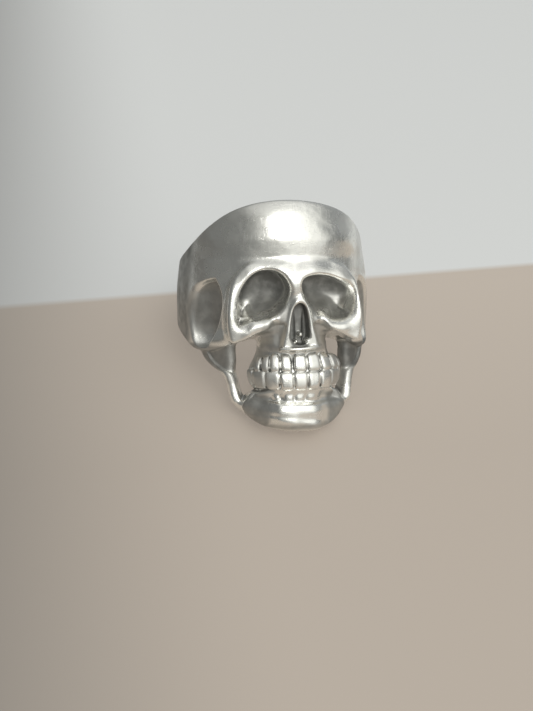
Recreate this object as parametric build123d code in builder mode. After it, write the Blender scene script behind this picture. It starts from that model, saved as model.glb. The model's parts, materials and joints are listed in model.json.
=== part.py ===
"""A cast finger ring whose front is a human skull, with the crown cut off on a slope.

The ring is one solid. It is drawn about its finger bore and then laid down as it rests by
itself: tipped back, on the chin at the front and the band at the back.

While it is drawn, Z runs along the finger bore towards the crown, the face looks along -Y,
+X is the skull's left, and Z = 0 is the line of the eyes.
"""

import os
from math import asin, atan2, cos, degrees, hypot, radians, sin, sqrt, tan

from build123d import *

# Driving sizes, in millimetres.
bore_diameter = 19.8        # finger bore, a US size 10
crown_height = 11.7         # eye line to the cut edge of the crown, at the front
chin_depth = 15.3           # eye line to the underside of the chin
band_wall = 1.75            # metal outside the bore at the back
side_wall = 2.25            # metal outside the bore at the sides
brow_wall = 3.2             # metal outside the bore at the forehead
band_width = 5.6            # band's width along the bore, at the back
side_width = 8.4            # band's width along the bore, at the sides
face_reach = 13.5           # bore axis to the front of the brow
face_width = 16.0           # across the outside of the eye rims
face_round = 34.0           # radius of the face in plan
brow_height = 5.1           # eye line to the brow's top edge
cheek_depth = 4.8           # eye line to the cheekbones' lower corners
socket_width = 6.2          # eye socket, across
socket_height = 5.8         # eye socket, up and down
socket_centre = 3.85        # midline to the middle of a socket
socket_floor = 0.9          # metal between a socket and the bore
temple_width = 6.8          # hollow behind an eye rim, along the band
temple_height = 7.7         # the same hollow, up and down
temple_floor = 1.0          # metal between that hollow and the bore
temple_angle = 54.5         # degrees round the bore from the face to that hollow
nose_reach = 14.0           # bore axis to the front of the nose
nose_width = 4.2            # nose, across its foot
nose_depth = 5.5            # eye line to the foot of the nose
nostril_width = 2.3         # opening in the nose, across its foot
nostril_height = 4.6        # opening in the nose, up and down
nostril_deep = 1.7          # opening in the nose, front to back
septum = 0.45               # thickness of the blade inside the nose
maxilla_width = 8.2         # upper jaw at its waist, under the cheekbones
arch_width = 11.0           # outside of the back teeth
arch_reach = 14.6           # bore axis to the front of the teeth
bite_depth = 8.0            # eye line to where the two rows of teeth meet
upper_tooth = 2.35          # height of an upper tooth
lower_tooth = 2.15          # height of a lower tooth
tooth_wide = 1.5            # a tooth's share of the row
tooth_deep = 1.7            # a tooth, front to back
tooth_gap = 0.08            # groove between two teeth
tooth_round = 0.35          # rounding of a tooth's edges
front_lean = 8.0            # degrees that a front tooth leans in, away from the bite
side_lean = 30.0            # the same for the last tooth of a row
teeth_in_row = 9
chin_reach = 14.4           # bore axis to the front of the chin
chin_foot = 5.6             # width of the flat under the chin
chin_land = 0.6             # how far that flat reaches outside the bore
chin_rise = 0.45            # how far the chin arches up at the front, at the ends of that flat
jaw_width = 14.6            # across the corners of the jaw
jaw_corner_depth = 12.3     # eye line to the corners of the jaw
strap_width = 1.6           # the jaw's side strap at its middle
strap_wall = 1.7            # thickness of that strap, outside the bore
cheek_bar = 1.7             # thickness of the bar from a cheekbone to the band
edge_round = 0.4            # rounding of the band's and the crown's edges

bore = bore_diameter / 2
past = 4.0                  # how far a cut runs past what it cuts
through = 60.0              # length of the bore's cut, longer than the ring
socket_rise = 0.2           # socket's middle above the eye line
temple_drop = 1.4           # hollow's middle below the eye line
nose_root = 0.5             # how far outside the bore the nose's ellipses are centred
arch_middle = 9.3           # bore axis to the middle of the tooth arch
strap_sunk = 0.6            # how far a strap is drawn inside the bore before the bore is cut
strap_round = 0.5           # rounding of a strap's corners
nostril_foot = 5.0          # eye line to the foot of the nose's opening

# Plan sections of the crown. Columns: height as a share of the crown's height, then the
# shares of the brow's wall and of the side wall that stand outside the bore there.
crown_sections = (
    (-0.85, 0.80, 0.90),
    (-0.30, 0.92, 1.00),
    (0.10, 0.98, 0.99),
    (0.40, 1.00, 0.76),
    (0.70, 0.88, 0.42),
    (1.05, 0.36, 0.26),
)
# The crown's cut edge seen from the side, from front to back. Columns: place along Y as a
# share of the face's reach, height as a share of the way from the band's edge to the crown.
crown_edge = ((-1.15, 1.34), (-0.81, 0.98), (-0.52, 0.62), (-0.27, 0.30), (0.0, 0.08), (0.30, -0.01))
# The lower edge from the cheekbones back to the band. Columns: place along Y as a share of
# the face's reach, depth as a share of the cheekbones' depth.
lower_edge = ((-1.20, 0.62), (-0.86, 0.92), (-0.63, 1.25), (-0.42, 1.27), (-0.22, 1.05))

# Half of the mask's outline, from the top down. Columns: shares of half the face's width
# and of the brow's height, or of the cheekbones' depth where the share is negative.
mask_top = ((0.0, 0.96), (0.44, 1.0), (0.77, 0.80), (0.95, 0.33))
mask_foot = ((0.99, -0.25), (1.0, -0.72), (0.93, -1.0), (0.73, -0.84), (0.51, -0.68), (0.0, -0.46))
# How the mask draws in. Columns: distance behind its front in millimetres, share of the outline.
mask_taper = ((9.0, 0.94), (3.0, 1.0), (1.4, 0.99), (0.0, 0.86))
# A socket's outline about its middle, from the nose over the top. Columns: shares of its
# width and height.
socket_outline = (
    (-0.50, 0.22), (-0.33, 0.46), (0.0, 0.55), (0.31, 0.40),
    (0.50, 0.02), (0.44, -0.38), (0.16, -0.42), (-0.14, -0.27), (-0.38, -0.06),
)
# How a socket narrows to its floor. Columns: share of the way in, share of the outline.
socket_taper = ((-0.6, 1.18), (0.12, 1.0), (0.7, 0.86), (1.0, 0.5))
# The temple hollow's outline, seen from outside with the face to its right.
temple_outline = (
    (0.28, 0.50), (0.50, 0.18), (0.40, -0.22), (0.12, -0.50),
    (-0.22, -0.47), (-0.48, -0.12), (-0.36, 0.28), (-0.05, 0.44),
)
temple_taper = ((-0.8, 1.1), (0.2, 0.98), (0.8, 0.8), (1.0, 0.5))

# Plan sections of the nose. Columns: height as a share of the nose's depth, shares of half
# its width and of its reach outside the bore.
nose_sections = (
    (0.85, 0.62, 0.80), (0.42, 0.36, 0.62), (0.0, 0.58, 0.84),
    (-0.45, 0.86, 0.98), (-0.85, 1.0, 1.0), (-1.05, 0.95, 0.86),
)
# Plan sections of the upper jaw. Columns: height as a share of the bite's depth, shares of
# its waist's width and of the teeth's reach outside the bore.
maxilla_sections = (
    (-0.08, 0.62, 0.60), (-0.35, 0.86, 0.70), (-0.63, 1.0, 0.76),
    (-0.86, 1.18, 0.80), (-1.12, 1.24, 0.78), (-1.42, 1.16, 0.66),
)
# Half of the jaw seen from the front, from its top over its corner to its underside. Columns:
# share of half the jaw's width; level, as jaw_level gives it.
jaw_front = (
    (0.0, -0.06), (0.50, 0.12), (0.75, 0.40), (0.90, 0.69), (1.0, 0.97), (0.95, 1.18), (0.78, 1.46), (0.58, 1.75),
)
# Half of the jaw in plan, from its corner to the chin. Columns: shares of half the jaw's
# width and of the chin's reach.
jaw_plan = ((1.02, 0.50), (0.89, 0.69), (0.64, 0.86), (0.36, 0.97), (0.0, 1.0))
# The chin from the side, from the groove under the teeth to the foot. Columns: share of the
# chin's reach; level, as jaw_level gives it.
chin_side = (
    (0.86, -0.31), (0.905, 0.26), (0.955, 0.58), (0.955, 0.90), (0.995, 1.34), (0.99, 1.75), (0.93, 2.0),
)
# The jaw's side strap, from the cheekbone down. Columns: depth as a share of the jaw
# corner's, degrees round the bore, share of the strap's width, share of its wall.
strap_sections = (
    (0.39, 53.0, 2.9, 0.95), (0.53, 51.0, 2.2, 0.95), (0.68, 47.0, 1.35, 1.0),
    (0.84, 42.0, 0.85, 1.0), (0.97, 36.0, 1.0, 1.05),
)
# The bar from a cheekbone to the band. Columns: degrees round the bore, metal outside the
# bore at its middle, depth as a share of the cheekbones' depth.
bar_points = ((30.0, 2.6, 0.74), (42.0, 2.5, 0.98), (58.0, 1.9, 1.12), (76.0, 1.3, 0.92), (92.0, 0.8, 0.62))
# Half of the nose's opening, from its top. Columns: shares of half its width and of its height.
nostril_outline = ((0.0, 1.0), (0.45, 0.82), (0.85, 0.38), (0.98, 0.1), (0.55, -0.02), (0.0, 0.08))


def half_ring(wall, angle):
    """A point at that metal thickness outside the bore and that angle round from the face."""
    reach = bore + wall
    return reach * sin(radians(angle)), -reach * cos(radians(angle))


def jaw_level(level):
    """Height in the jaw: level 0 is the foot of the teeth, 1 the jaw's corner, 2 its underside."""
    teeth_foot = bite_depth + lower_tooth
    if level < 1:
        return -teeth_foot - level * (jaw_corner_depth - teeth_foot)
    return -jaw_corner_depth - (level - 1) * (chin_depth - jaw_corner_depth)


def pit(outline, width, height, taper, mouth, floor):
    """A pit that narrows from its mouth plane to its floor plane, as a solid to cut with."""
    with BuildPart() as hollow:
        for way, share in taper:
            origin = mouth.origin + (floor.origin - mouth.origin) * way
            normal = mouth.z_dir + (floor.z_dir - mouth.z_dir) * max(way, 0)
            with BuildSketch(Plane(origin, x_dir=(-normal.Y, normal.X, 0), z_dir=normal)):
                with BuildLine():
                    Spline(*[(x * width * share, z * height * share) for x, z in outline], periodic=True)
                make_face()
        loft()
    return hollow.part


# The crown, its slope down to the band, and the band round the back.
with BuildPart() as crown:
    back = bore + band_wall
    for height, front, side in crown_sections:
        reach = bore + brow_wall * front
        with BuildSketch(Plane.XY.offset(height * crown_height)):
            with Locations((0, (back - reach) / 2)):
                Ellipse(bore + side_wall * side, (back + reach) / 2)
    loft()
    with BuildSketch(Plane.YZ):
        band_top = side_width / 2
        rise = crown_height - band_top
        with BuildLine():
            top = Spline(
                *[(y * face_reach, band_top + share * rise) for y, share in crown_edge],
                (back, band_width / 2),
                tangents=((1, -1), (1, 0)),
            )
            foot = Spline(
                *[(y * face_reach, -share * cheek_depth) for y, share in lower_edge],
                (0, -side_width / 2),
                (back, -band_width / 2),
                tangents=((1, -0.3), (1, 0)),
            )
            Line(top @ 0, foot @ 0)
            Polyline(top @ 1, (back + past, band_width / 2), (back + past, -band_width / 2), foot @ 1)
        make_face()
    extrude(amount=2 * bore, both=True, mode=Mode.INTERSECT)
    Cylinder(bore, through, mode=Mode.SUBTRACT)
    cut_edges = crown.faces().filter_by(GeomType.EXTRUSION).edges()
    fillet(cut_edges.filter_by(lambda edge: edge.length > 2 * band_wall), edge_round)

# The mask: brow, eye rims and cheekbones, on one broad curve across the face. Its outline
# draws in towards the front, which rounds its edge.
with BuildPart() as mask:
    for behind, share in mask_taper:
        with BuildSketch(Plane.XZ.offset(face_reach - behind)):
            with BuildLine():
                half = [(x * share * face_width / 2, z * share * brow_height) for x, z in mask_top]
                half += [(x * share * face_width / 2, z * share * cheek_depth) for x, z in mask_foot]
                right = Spline(*half, tangents=((1, 0), (-1, 0)))
                mirror(right, about=Plane.YZ)
            make_face()
    loft()
    with BuildSketch(Plane.XY.offset(-crown_height)):
        with Locations((0, face_round - face_reach)):
            Circle(face_round)
    extrude(amount=2 * crown_height, mode=Mode.INTERSECT)

# The bar that runs from a cheekbone back into the band.
with BuildPart() as cheek_bars:
    with BuildLine() as bar_route:
        Spline(*[(*half_ring(wall, angle), -depth * cheek_depth) for angle, wall, depth in bar_points])
    with BuildSketch(Plane(bar_route.line @ 0, z_dir=bar_route.line % 0)):
        Circle(cheek_bar / 2)
    sweep()
    mirror(about=Plane.YZ)

# Plan sections on ellipses make the nose and, behind it, the upper jaw.
with BuildPart() as nose:
    for height, wide, reach in nose_sections:
        front = bore + (nose_reach - bore) * reach
        with BuildSketch(Plane.XY.offset(height * nose_depth)):
            with Locations((0, -bore - nose_root)):
                Ellipse(nose_width / 2 * wide, front - bore - nose_root)
    loft()
with BuildPart() as maxilla:
    for height, wide, reach in maxilla_sections:
        front = bore + (arch_reach - bore) * reach
        with BuildSketch(Plane.XY.offset(height * bite_depth)):
            with Locations((0, -arch_middle)):
                Ellipse(maxilla_width / 2 * wide, front - arch_middle)
    loft()

# The jaw's outline from the front, flat under its back and arched under the chin.
with BuildPart() as jaw_block:
    for reach, rise in ((0, 0), (bore + chin_land, 0), (chin_reach, chin_rise)):
        with BuildSketch(Plane.XZ.offset(reach)):
            with BuildLine():
                half = [(x * jaw_width / 2, jaw_level(level)) for x, level in jaw_front]
                foot = (chin_foot / 2, rise - chin_depth)
                right = Spline(*half, foot, tangents=((1, 0), (-1, -rise)))
                mirror(right, about=Plane.YZ)
                Spline(foot, (0, -chin_depth), (-foot[0], foot[1]))
            make_face()
    loft(ruled=True)
# The jaw: a horseshoe in plan, cut to that outline and to the chin's from the side.
with BuildPart() as jaw:
    with BuildSketch(Plane.XY.offset(-chin_depth - past)):
        with BuildLine():
            half = [(x * jaw_width / 2, -y * chin_reach) for x, y in jaw_plan]
            right = Spline(*half, tangents=((-0.3, -1), (-1, 0)), tangent_scalars=(1, 1))
            mirror(right, about=Plane.YZ)
            Line(right @ 0, (-(right @ 0).X, (right @ 0).Y))
        make_face()
    extrude(amount=chin_depth + past)
    add(jaw_block.part, mode=Mode.INTERSECT)
    with BuildSketch(Plane.YZ):
        with BuildLine():
            side = Spline(*[(-y * chin_reach, jaw_level(level)) for y, level in chin_side])
            Polyline(side @ 1, (0, -chin_depth), (0, (side @ 0).Y), side @ 0)
        make_face()
    extrude(amount=bore_diameter, both=True, mode=Mode.INTERSECT)

# The straps that carry the jaw from the cheekbones.
with BuildPart() as straps:
    for depth, angle, wide, wall in strap_sections:
        middle = half_ring((strap_wall * wall - strap_sunk) / 2, angle)
        along = (cos(radians(angle)), sin(radians(angle)), 0)
        with BuildSketch(Plane((*middle, -depth * jaw_corner_depth), x_dir=along, z_dir=(0, 0, 1))):
            RectangleRounded(strap_width * wide, strap_wall * wall + strap_sunk, strap_round)
    loft()
    mirror(about=Plane.YZ)

# One tooth of each row, standing on the XY plane's origin with its face at the front.
with BuildPart() as upper:
    Box(tooth_wide - tooth_gap, tooth_deep, upper_tooth, align=(Align.CENTER, Align.MIN, Align.MIN))
    fillet(upper.edges(), tooth_round)
with BuildPart() as lower:
    Box(tooth_wide - tooth_gap, tooth_deep, lower_tooth, align=(Align.CENTER, Align.MIN, Align.MAX))
    fillet(lower.edges(), tooth_round)
arch_run = arch_reach - arch_middle
with BuildLine(Plane.XY.offset(-bite_depth)):
    tooth_arch = EllipticalCenterArc((0, -arch_middle), arch_width / 2, arch_run, 180, arc_size=180)
upper_spots = []
lower_spots = []
for number in range(teeth_in_row):
    side = 2 * number / (teeth_in_row - 1) - 1
    place = 0.5 + side * (teeth_in_row - 1) / 2 * tooth_wide / tooth_arch.length
    along = tooth_arch % place
    lean = tan(radians(front_lean + (side_lean - front_lean) * side ** 2))
    for spots, way in ((upper_spots, -lean), (lower_spots, lean)):
        upright = (along.Y * way, -along.X * way, 1)
        spots.append(Plane(tooth_arch @ place, x_dir=along, z_dir=upright).location)

# Cutters: the eye sockets, the temple hollows and the opening in the nose.
socket_angle = degrees(asin(socket_centre / (bore + socket_floor)))
floor_spot = half_ring(socket_floor, socket_angle)
socket = pit(
    socket_outline, socket_width, socket_height, socket_taper,
    Plane((socket_centre, -face_reach, socket_rise), z_dir=(0, -1, 0)),
    Plane((*floor_spot, socket_rise), z_dir=(*floor_spot, 0)),
)
temple_spot = half_ring(side_wall, temple_angle)
temple = pit(
    temple_outline, temple_width, temple_height, temple_taper,
    Plane((*temple_spot, -temple_drop), z_dir=(*temple_spot, 0)),
    Plane((*half_ring(temple_floor, temple_angle), -temple_drop), z_dir=(*temple_spot, 0)),
)
with BuildPart() as nostrils:
    with BuildSketch(Plane.XZ.offset(nose_reach - nostril_deep)):
        with BuildLine():
            half = [(x * nostril_width / 2, nostril_height * z - nostril_foot) for x, z in nostril_outline]
            right = Spline(*half, tangents=((1, 0), (-1, 0.4)))
            mirror(right, about=Plane.YZ)
        make_face()
    extrude(amount=past)
    with Locations((0, -nose_reach, -nostril_foot)):
        Box(septum, 2 * nostril_deep - septum, nostril_height, mode=Mode.SUBTRACT)

with BuildPart() as casting:
    for piece in (crown, mask, cheek_bars, nose, maxilla, straps):
        add(piece.part)
    for cutter in (socket, temple):
        add(cutter, mode=Mode.SUBTRACT)
        add(mirror(cutter, about=Plane.YZ, mode=Mode.PRIVATE), mode=Mode.SUBTRACT)
    add(nostrils.part, mode=Mode.SUBTRACT)
    add(jaw.part)
    with Locations(*upper_spots):
        add(upper.part)
    with Locations(*lower_spots):
        add(lower.part)
    Cylinder(bore, through, mode=Mode.SUBTRACT)

# Tipped back until the corners of the chin's foot and the rounded lower edge of the band's
# back stand on one level.
foot_back = -sqrt(bore**2 - (chin_foot / 2) ** 2)
drop = chin_depth - band_width / 2 + edge_round
run = bore + band_wall - edge_round - foot_back
tilt = degrees(atan2(drop, run) - asin(edge_round / hypot(drop, run)))
lying = casting.part.rotate(Axis.X, -tilt).bounding_box()
with BuildPart() as ring:
    with Locations((-lying.center().X, -lying.center().Y, -lying.min.Z)):
        add(casting.part, rotation=(-tilt, 0, 0))
ring.part.label = "skull_ring"

os.makedirs("parts", exist_ok=True)
export_step(ring.part, "parts/skull_ring.step")
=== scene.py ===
"""Looks of a cast silver skull ring that rests tipped back on its chin and its band.

The metal is worked like clay: each part of the skull adds or carves its own form on a fine grid
of distances. That is done in the frame the ring is drawn in, in millimetres, with Z along the
finger bore towards the crown, the face along -Y, +X the skull's left and Z = 0 at the line of the
eyes. The clay is then meshed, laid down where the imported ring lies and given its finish.
"""

import json
import logging
import math
from collections.abc import Callable
from dataclasses import dataclass, field
from enum import Enum
from functools import partial

import bmesh
import bpy
import numpy as np
import openvdb
from mathutils import Matrix, Vector


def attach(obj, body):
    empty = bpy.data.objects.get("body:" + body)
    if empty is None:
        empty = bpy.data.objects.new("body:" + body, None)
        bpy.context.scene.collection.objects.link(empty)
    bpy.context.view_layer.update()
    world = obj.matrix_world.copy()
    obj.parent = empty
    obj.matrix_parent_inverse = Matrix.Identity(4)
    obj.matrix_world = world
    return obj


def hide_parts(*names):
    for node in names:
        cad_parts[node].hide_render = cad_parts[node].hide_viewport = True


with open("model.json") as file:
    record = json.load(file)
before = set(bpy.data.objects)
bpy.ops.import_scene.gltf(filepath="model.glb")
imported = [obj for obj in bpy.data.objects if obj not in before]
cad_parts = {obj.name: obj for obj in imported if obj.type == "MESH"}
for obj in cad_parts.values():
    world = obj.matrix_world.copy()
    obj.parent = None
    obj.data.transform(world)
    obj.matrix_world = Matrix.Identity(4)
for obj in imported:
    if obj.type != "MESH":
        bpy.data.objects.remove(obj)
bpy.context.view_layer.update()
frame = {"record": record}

log = logging.getLogger("skull_ring")

MILLIMETRE = 0.001
BORE = 9.9                  # the finger bore's radius, in millimetres
FAR = 6.0                   # distance that stands for empty space, in millimetres
FINE_STEP = 0.1             # clay's grid in the finished piece
ROOM_STEP = 0.2             # grid of the empty room round the metal
ROOM_REACH = 16.0           # how far out from the metal that grid is worked out, in its cells
MOST_TRIANGLES = 190000     # in the finished piece

Point = tuple[float, float, float]
Rows = tuple[tuple[float, ...], ...]
Grid = np.ndarray
Place = tuple[Grid, Grid, Grid]     # places along X, Y and Z
Form = Callable[[Place], Grid]      # distances or depths at places
Inputs = dict[str | int, object]    # a node's inputs, by name or number


class Side(Enum):
    """The skull's two sides, with the sign of X on each."""

    RIGHT = -1
    LEFT = 1


def melt(one: Grid, other: Grid, soft: float) -> Grid:
    """Joins two forms, with a fillet where they meet.

    Args:
        one: Distances from the first form.
        other: Distances from the second form.
        soft: Size of the fillet, in millimetres.

    Returns:
        Distances from the joined form.
    """
    near = np.maximum(soft - np.abs(one - other), 0.0) / soft
    return np.minimum(one, other) - near * near * (soft / 4)


def meet(one: Grid, other: Grid, soft: float) -> Grid:
    """Keeps what two forms share, with its edges rounded.

    Args:
        one: Distances from the first form.
        other: Distances from the second form.
        soft: Size of the rounding, in millimetres.

    Returns:
        Distances from the shared form.
    """
    return -melt(-one, -other, soft)


def hump(value: Grid, middle: float, width: float) -> Grid:
    """A smooth hump, 1 at its middle and fading over a width on each side.

    Args:
        value: Where to read it.
        middle: Where it is highest.
        width: How far it reaches each way before it has faded to about a third.

    Returns:
        The hump's height at each value.
    """
    return np.exp(-(((value - middle) / width) ** 2))


def fade(value: Grid, start: float, end: float) -> Grid:
    """A smooth step from 0 at one value to 1 at another.

    Args:
        value: Where to read it.
        start: Value where the step begins.
        end: Value where it is complete.

    Returns:
        The step's height at each value.
    """
    way = np.clip((value - start) / (end - start), 0.0, 1.0)
    return way * way * (3 - 2 * way)


def ball(at: Place, middle: Point, size: Point) -> Grid:
    """Distances from an ellipsoid.

    Args:
        at: Places along X, Y and Z.
        middle: The ellipsoid's middle.
        size: Its half sizes along the three axes.

    Returns:
        Distances, close to true ones near the surface.
    """
    parts = [(value - centre) / half for value, centre, half in zip(at, middle, size)]
    inner = np.sqrt(parts[0] ** 2 + parts[1] ** 2 + parts[2] ** 2)
    slope = np.sqrt(sum((part / half) ** 2 for part, half in zip(parts, size)))
    return inner * (inner - 1.0) / np.maximum(slope, 1e-4)


def oval(x: Grid, y: Grid, half_x: Grid, half_y: Grid) -> Grid:
    """Distances from an upright column with an elliptical section.

    Args:
        x: Places along X from the ellipse's middle.
        y: Places along Y from the ellipse's middle.
        half_x: Half of the ellipse along X.
        half_y: Half of the ellipse along Y.

    Returns:
        Distances, close to true ones near the surface.
    """
    inner = np.sqrt((x / half_x) ** 2 + (y / half_y) ** 2)
    slope = np.sqrt((x / half_x**2) ** 2 + (y / half_y**2) ** 2)
    return inner * (inner - 1.0) / np.maximum(slope, 1e-4)


def lumps(at: Place, size: float, seed: int) -> Grid:
    """Smooth random lumps, as left by a mould.

    Args:
        at: Places along X, Y and Z.
        size: A lump's usual size, in millimetres.
        seed: Fixed seed of the lumps.

    Returns:
        Heights between about -1 and 1.
    """
    x, y, z = at
    waves = 7
    draw = np.random.default_rng(seed)
    total = 0.0
    for _ in range(waves):
        way = draw.normal(size=3)
        way *= math.pi / size * draw.uniform(0.7, 1.3) / np.linalg.norm(way)
        total = total + np.sin(way[0] * x + way[1] * y + way[2] * z + draw.uniform(0, math.tau))
    return total / math.sqrt(waves)


def bend(here: Grid, there: Grid, rise: Grid, next_rise: Grid, way: Grid) -> Grid:
    """A smooth way from one value to the next.

    Args:
        here: The value at the start.
        there: The value at the end.
        rise: The slope at the start, over the whole way.
        next_rise: The slope at the end.
        way: How much of the way is done, from 0 to 1.

    Returns:
        The value there.
    """
    turn = 2 * (here - there) + rise + next_rise
    return here + way * (rise + way * (3 * (there - here) - 2 * rise - next_rise + way * turn))


def mirrored(half: Rows) -> Rows:
    """The other half of an outline about the midline, in the order that closes it."""
    return tuple((-across, up) for across, up in reversed(half))


def distances_from(points: Grid, size: list[int], reach: float, **faces: Grid) -> Grid:
    """Distances from a closed mesh, on a grid that starts at the origin.

    Args:
        points: The mesh's points, counted in cells of the grid.
        size: The grid's cells along each axis.
        reach: How many cells from the mesh the distances are worked out.
        **faces: Its triangles or its quads.

    Returns:
        Distances, counted in cells.
    """
    grid = openvdb.FloatGrid.createLevelSetFromPolygons(
        points.astype(np.float32),
        transform=openvdb.createLinearTransform(1.0),
        halfWidth=reach,
        **{kind: rows.astype(np.uint32) for kind, rows in faces.items()},
    )
    distances = np.empty(size, np.float32)
    grid.copyToArray(distances)
    return distances


def points_of(mesh: bpy.types.Mesh) -> Grid:
    """A mesh's points.

    Args:
        mesh: The mesh to read.

    Returns:
        Its points, one a row.
    """
    points = np.empty(len(mesh.vertices) * 3, np.float32)
    mesh.vertices.foreach_get("co", points)
    return points.reshape(-1, 3)


def put(name: str, data: bpy.types.ID) -> bpy.types.Object:
    """Puts an object in the scene.

    Args:
        name: The object's name.
        data: Its mesh, camera or lamp.

    Returns:
        The object.
    """
    placed = bpy.data.objects.new(name, data)
    bpy.context.scene.collection.objects.link(placed)
    return placed


def aim(azimuth: float, elevation: float) -> Vector:
    """The direction at some degrees round from the front, and at some above the level."""
    turn, rise = math.radians(azimuth), math.radians(elevation)
    return Vector((math.sin(turn) * math.cos(rise), -math.cos(turn) * math.cos(rise), math.sin(rise)))


class Nodes:
    """Adds nodes to a tree and joins them."""

    def __init__(self, tree: bpy.types.NodeTree) -> None:
        """Takes the tree that it adds to."""
        self.tree = tree

    def fill(self, node: bpy.types.Node, inputs: Inputs) -> None:
        """Joins a node's inputs to other nodes, or sets them.

        Args:
            node: The node.
            inputs: A socket or a value for each input, by its name or number.
        """
        for name, value in inputs.items():
            if isinstance(value, bpy.types.NodeSocket):
                self.tree.links.new(value, node.inputs[name])
            else:
                node.inputs[name].default_value = value

    def add(self, kind: str, inputs: Inputs | None = None, **settings: str) -> bpy.types.Node:
        """Adds a node.

        Args:
            kind: The node's type.
            inputs: A socket or a value for each input that isn't left as it comes.
            **settings: Its options, which are set before its inputs.

        Returns:
            The node.
        """
        node = self.tree.nodes.new(kind)
        for name, value in settings.items():
            setattr(node, name, value)
        self.fill(node, inputs or {})
        return node

    def math(self, operation: str, *values: object) -> bpy.types.NodeSocket:
        """Adds a step of arithmetic on sockets and numbers."""
        return self.add("ShaderNodeMath", dict(enumerate(values)), operation=operation).outputs[0]

    def mix(self, factor: object, one: object, other: object) -> bpy.types.NodeSocket:
        """Adds a mix of two colours, which turns from one to the other as the factor grows."""
        inputs = {"Factor": factor, "A": one, "B": other}
        return self.add("ShaderNodeMix", inputs, data_type="RGBA").outputs["Result"]

    def remap(
        self, value: object, low: float, high: float, start: float = 0.0, end: float = 1.0,
        kind: str = "SMOOTHSTEP",
    ) -> bpy.types.NodeSocket:
        """Adds a step from one number to another.

        Args:
            value: What the step follows.
            low: Value where it begins.
            high: Value where it ends.
            start: What it gives before.
            end: What it gives after.
            kind: The way in which it goes over.

        Returns:
            The step's result.
        """
        names = ("Value", "From Min", "From Max", "To Min", "To Max")
        inputs = dict(zip(names, (value, low, high, start, end)))
        return self.add("ShaderNodeMapRange", inputs, interpolation_type=kind).outputs["Result"]

    def noise(
        self, place: object, scale: float, detail: float,
        squeeze: Point = (1, 1, 1), turn: Point = (0, 0, 0),
    ) -> bpy.types.NodeSocket:
        """Adds a smooth random pattern.

        Args:
            place: The coordinates that it follows.
            scale: How many of its waves go into a metre.
            detail: How many finer layers it has.
            squeeze: How much finer it is along each axis.
            turn: How it is turned.

        Returns:
            The pattern.
        """
        mapping = self.add("ShaderNodeMapping", {"Vector": place, "Rotation": turn, "Scale": squeeze})
        inputs = {"Vector": mapping.outputs["Vector"], "Scale": scale, "Detail": detail}
        return self.add("ShaderNodeTexNoise", inputs).outputs["Fac"]


def start_material(name: str) -> tuple[bpy.types.Material, Nodes, bpy.types.Node]:
    """Starts a material.

    Args:
        name: The material's name.

    Returns:
        The material, its nodes and its shader.
    """
    material = bpy.data.materials.new(name)
    material.use_nodes = True
    tree = material.node_tree
    return material, Nodes(tree), tree.nodes["Principled BSDF"]


class Curve:
    """A smooth curve through rows of (place, value), level beyond its ends."""

    def __init__(self, rows: Rows) -> None:
        """Sorts the rows by place and works out a slope at each.

        Args:
            rows: Pairs of place and value.
        """
        ordered = sorted(rows)
        self.places = np.array([row[0] for row in ordered], np.float32)
        self.values = np.array([row[1] for row in ordered], np.float32)
        self.slopes = np.gradient(self.values, self.places)

    def __call__(self, place: Grid) -> Grid:
        """The curve's value.

        Args:
            place: Where to read it.

        Returns:
            One value a place.
        """
        at = np.clip(place, self.places[0], self.places[-1])
        span = np.clip(np.searchsorted(self.places, at, side="right") - 1, 0, len(self.places) - 2)
        run = self.places[span + 1] - self.places[span]
        way = (at - self.places[span]) / run
        here, there = self.values[span], self.values[span + 1]
        rise, next_rise = self.slopes[span] * run, self.slopes[span + 1] * run
        return bend(here, there, rise, next_rise, way)


def curves(rows: Rows) -> list[Curve]:
    """Curves through a table, whose first column holds the places.

    Args:
        rows: The table's rows.

    Returns:
        One curve for each column after the first.
    """
    places, *columns = zip(*rows)
    return [Curve(tuple(zip(places, column))) for column in columns]


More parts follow.
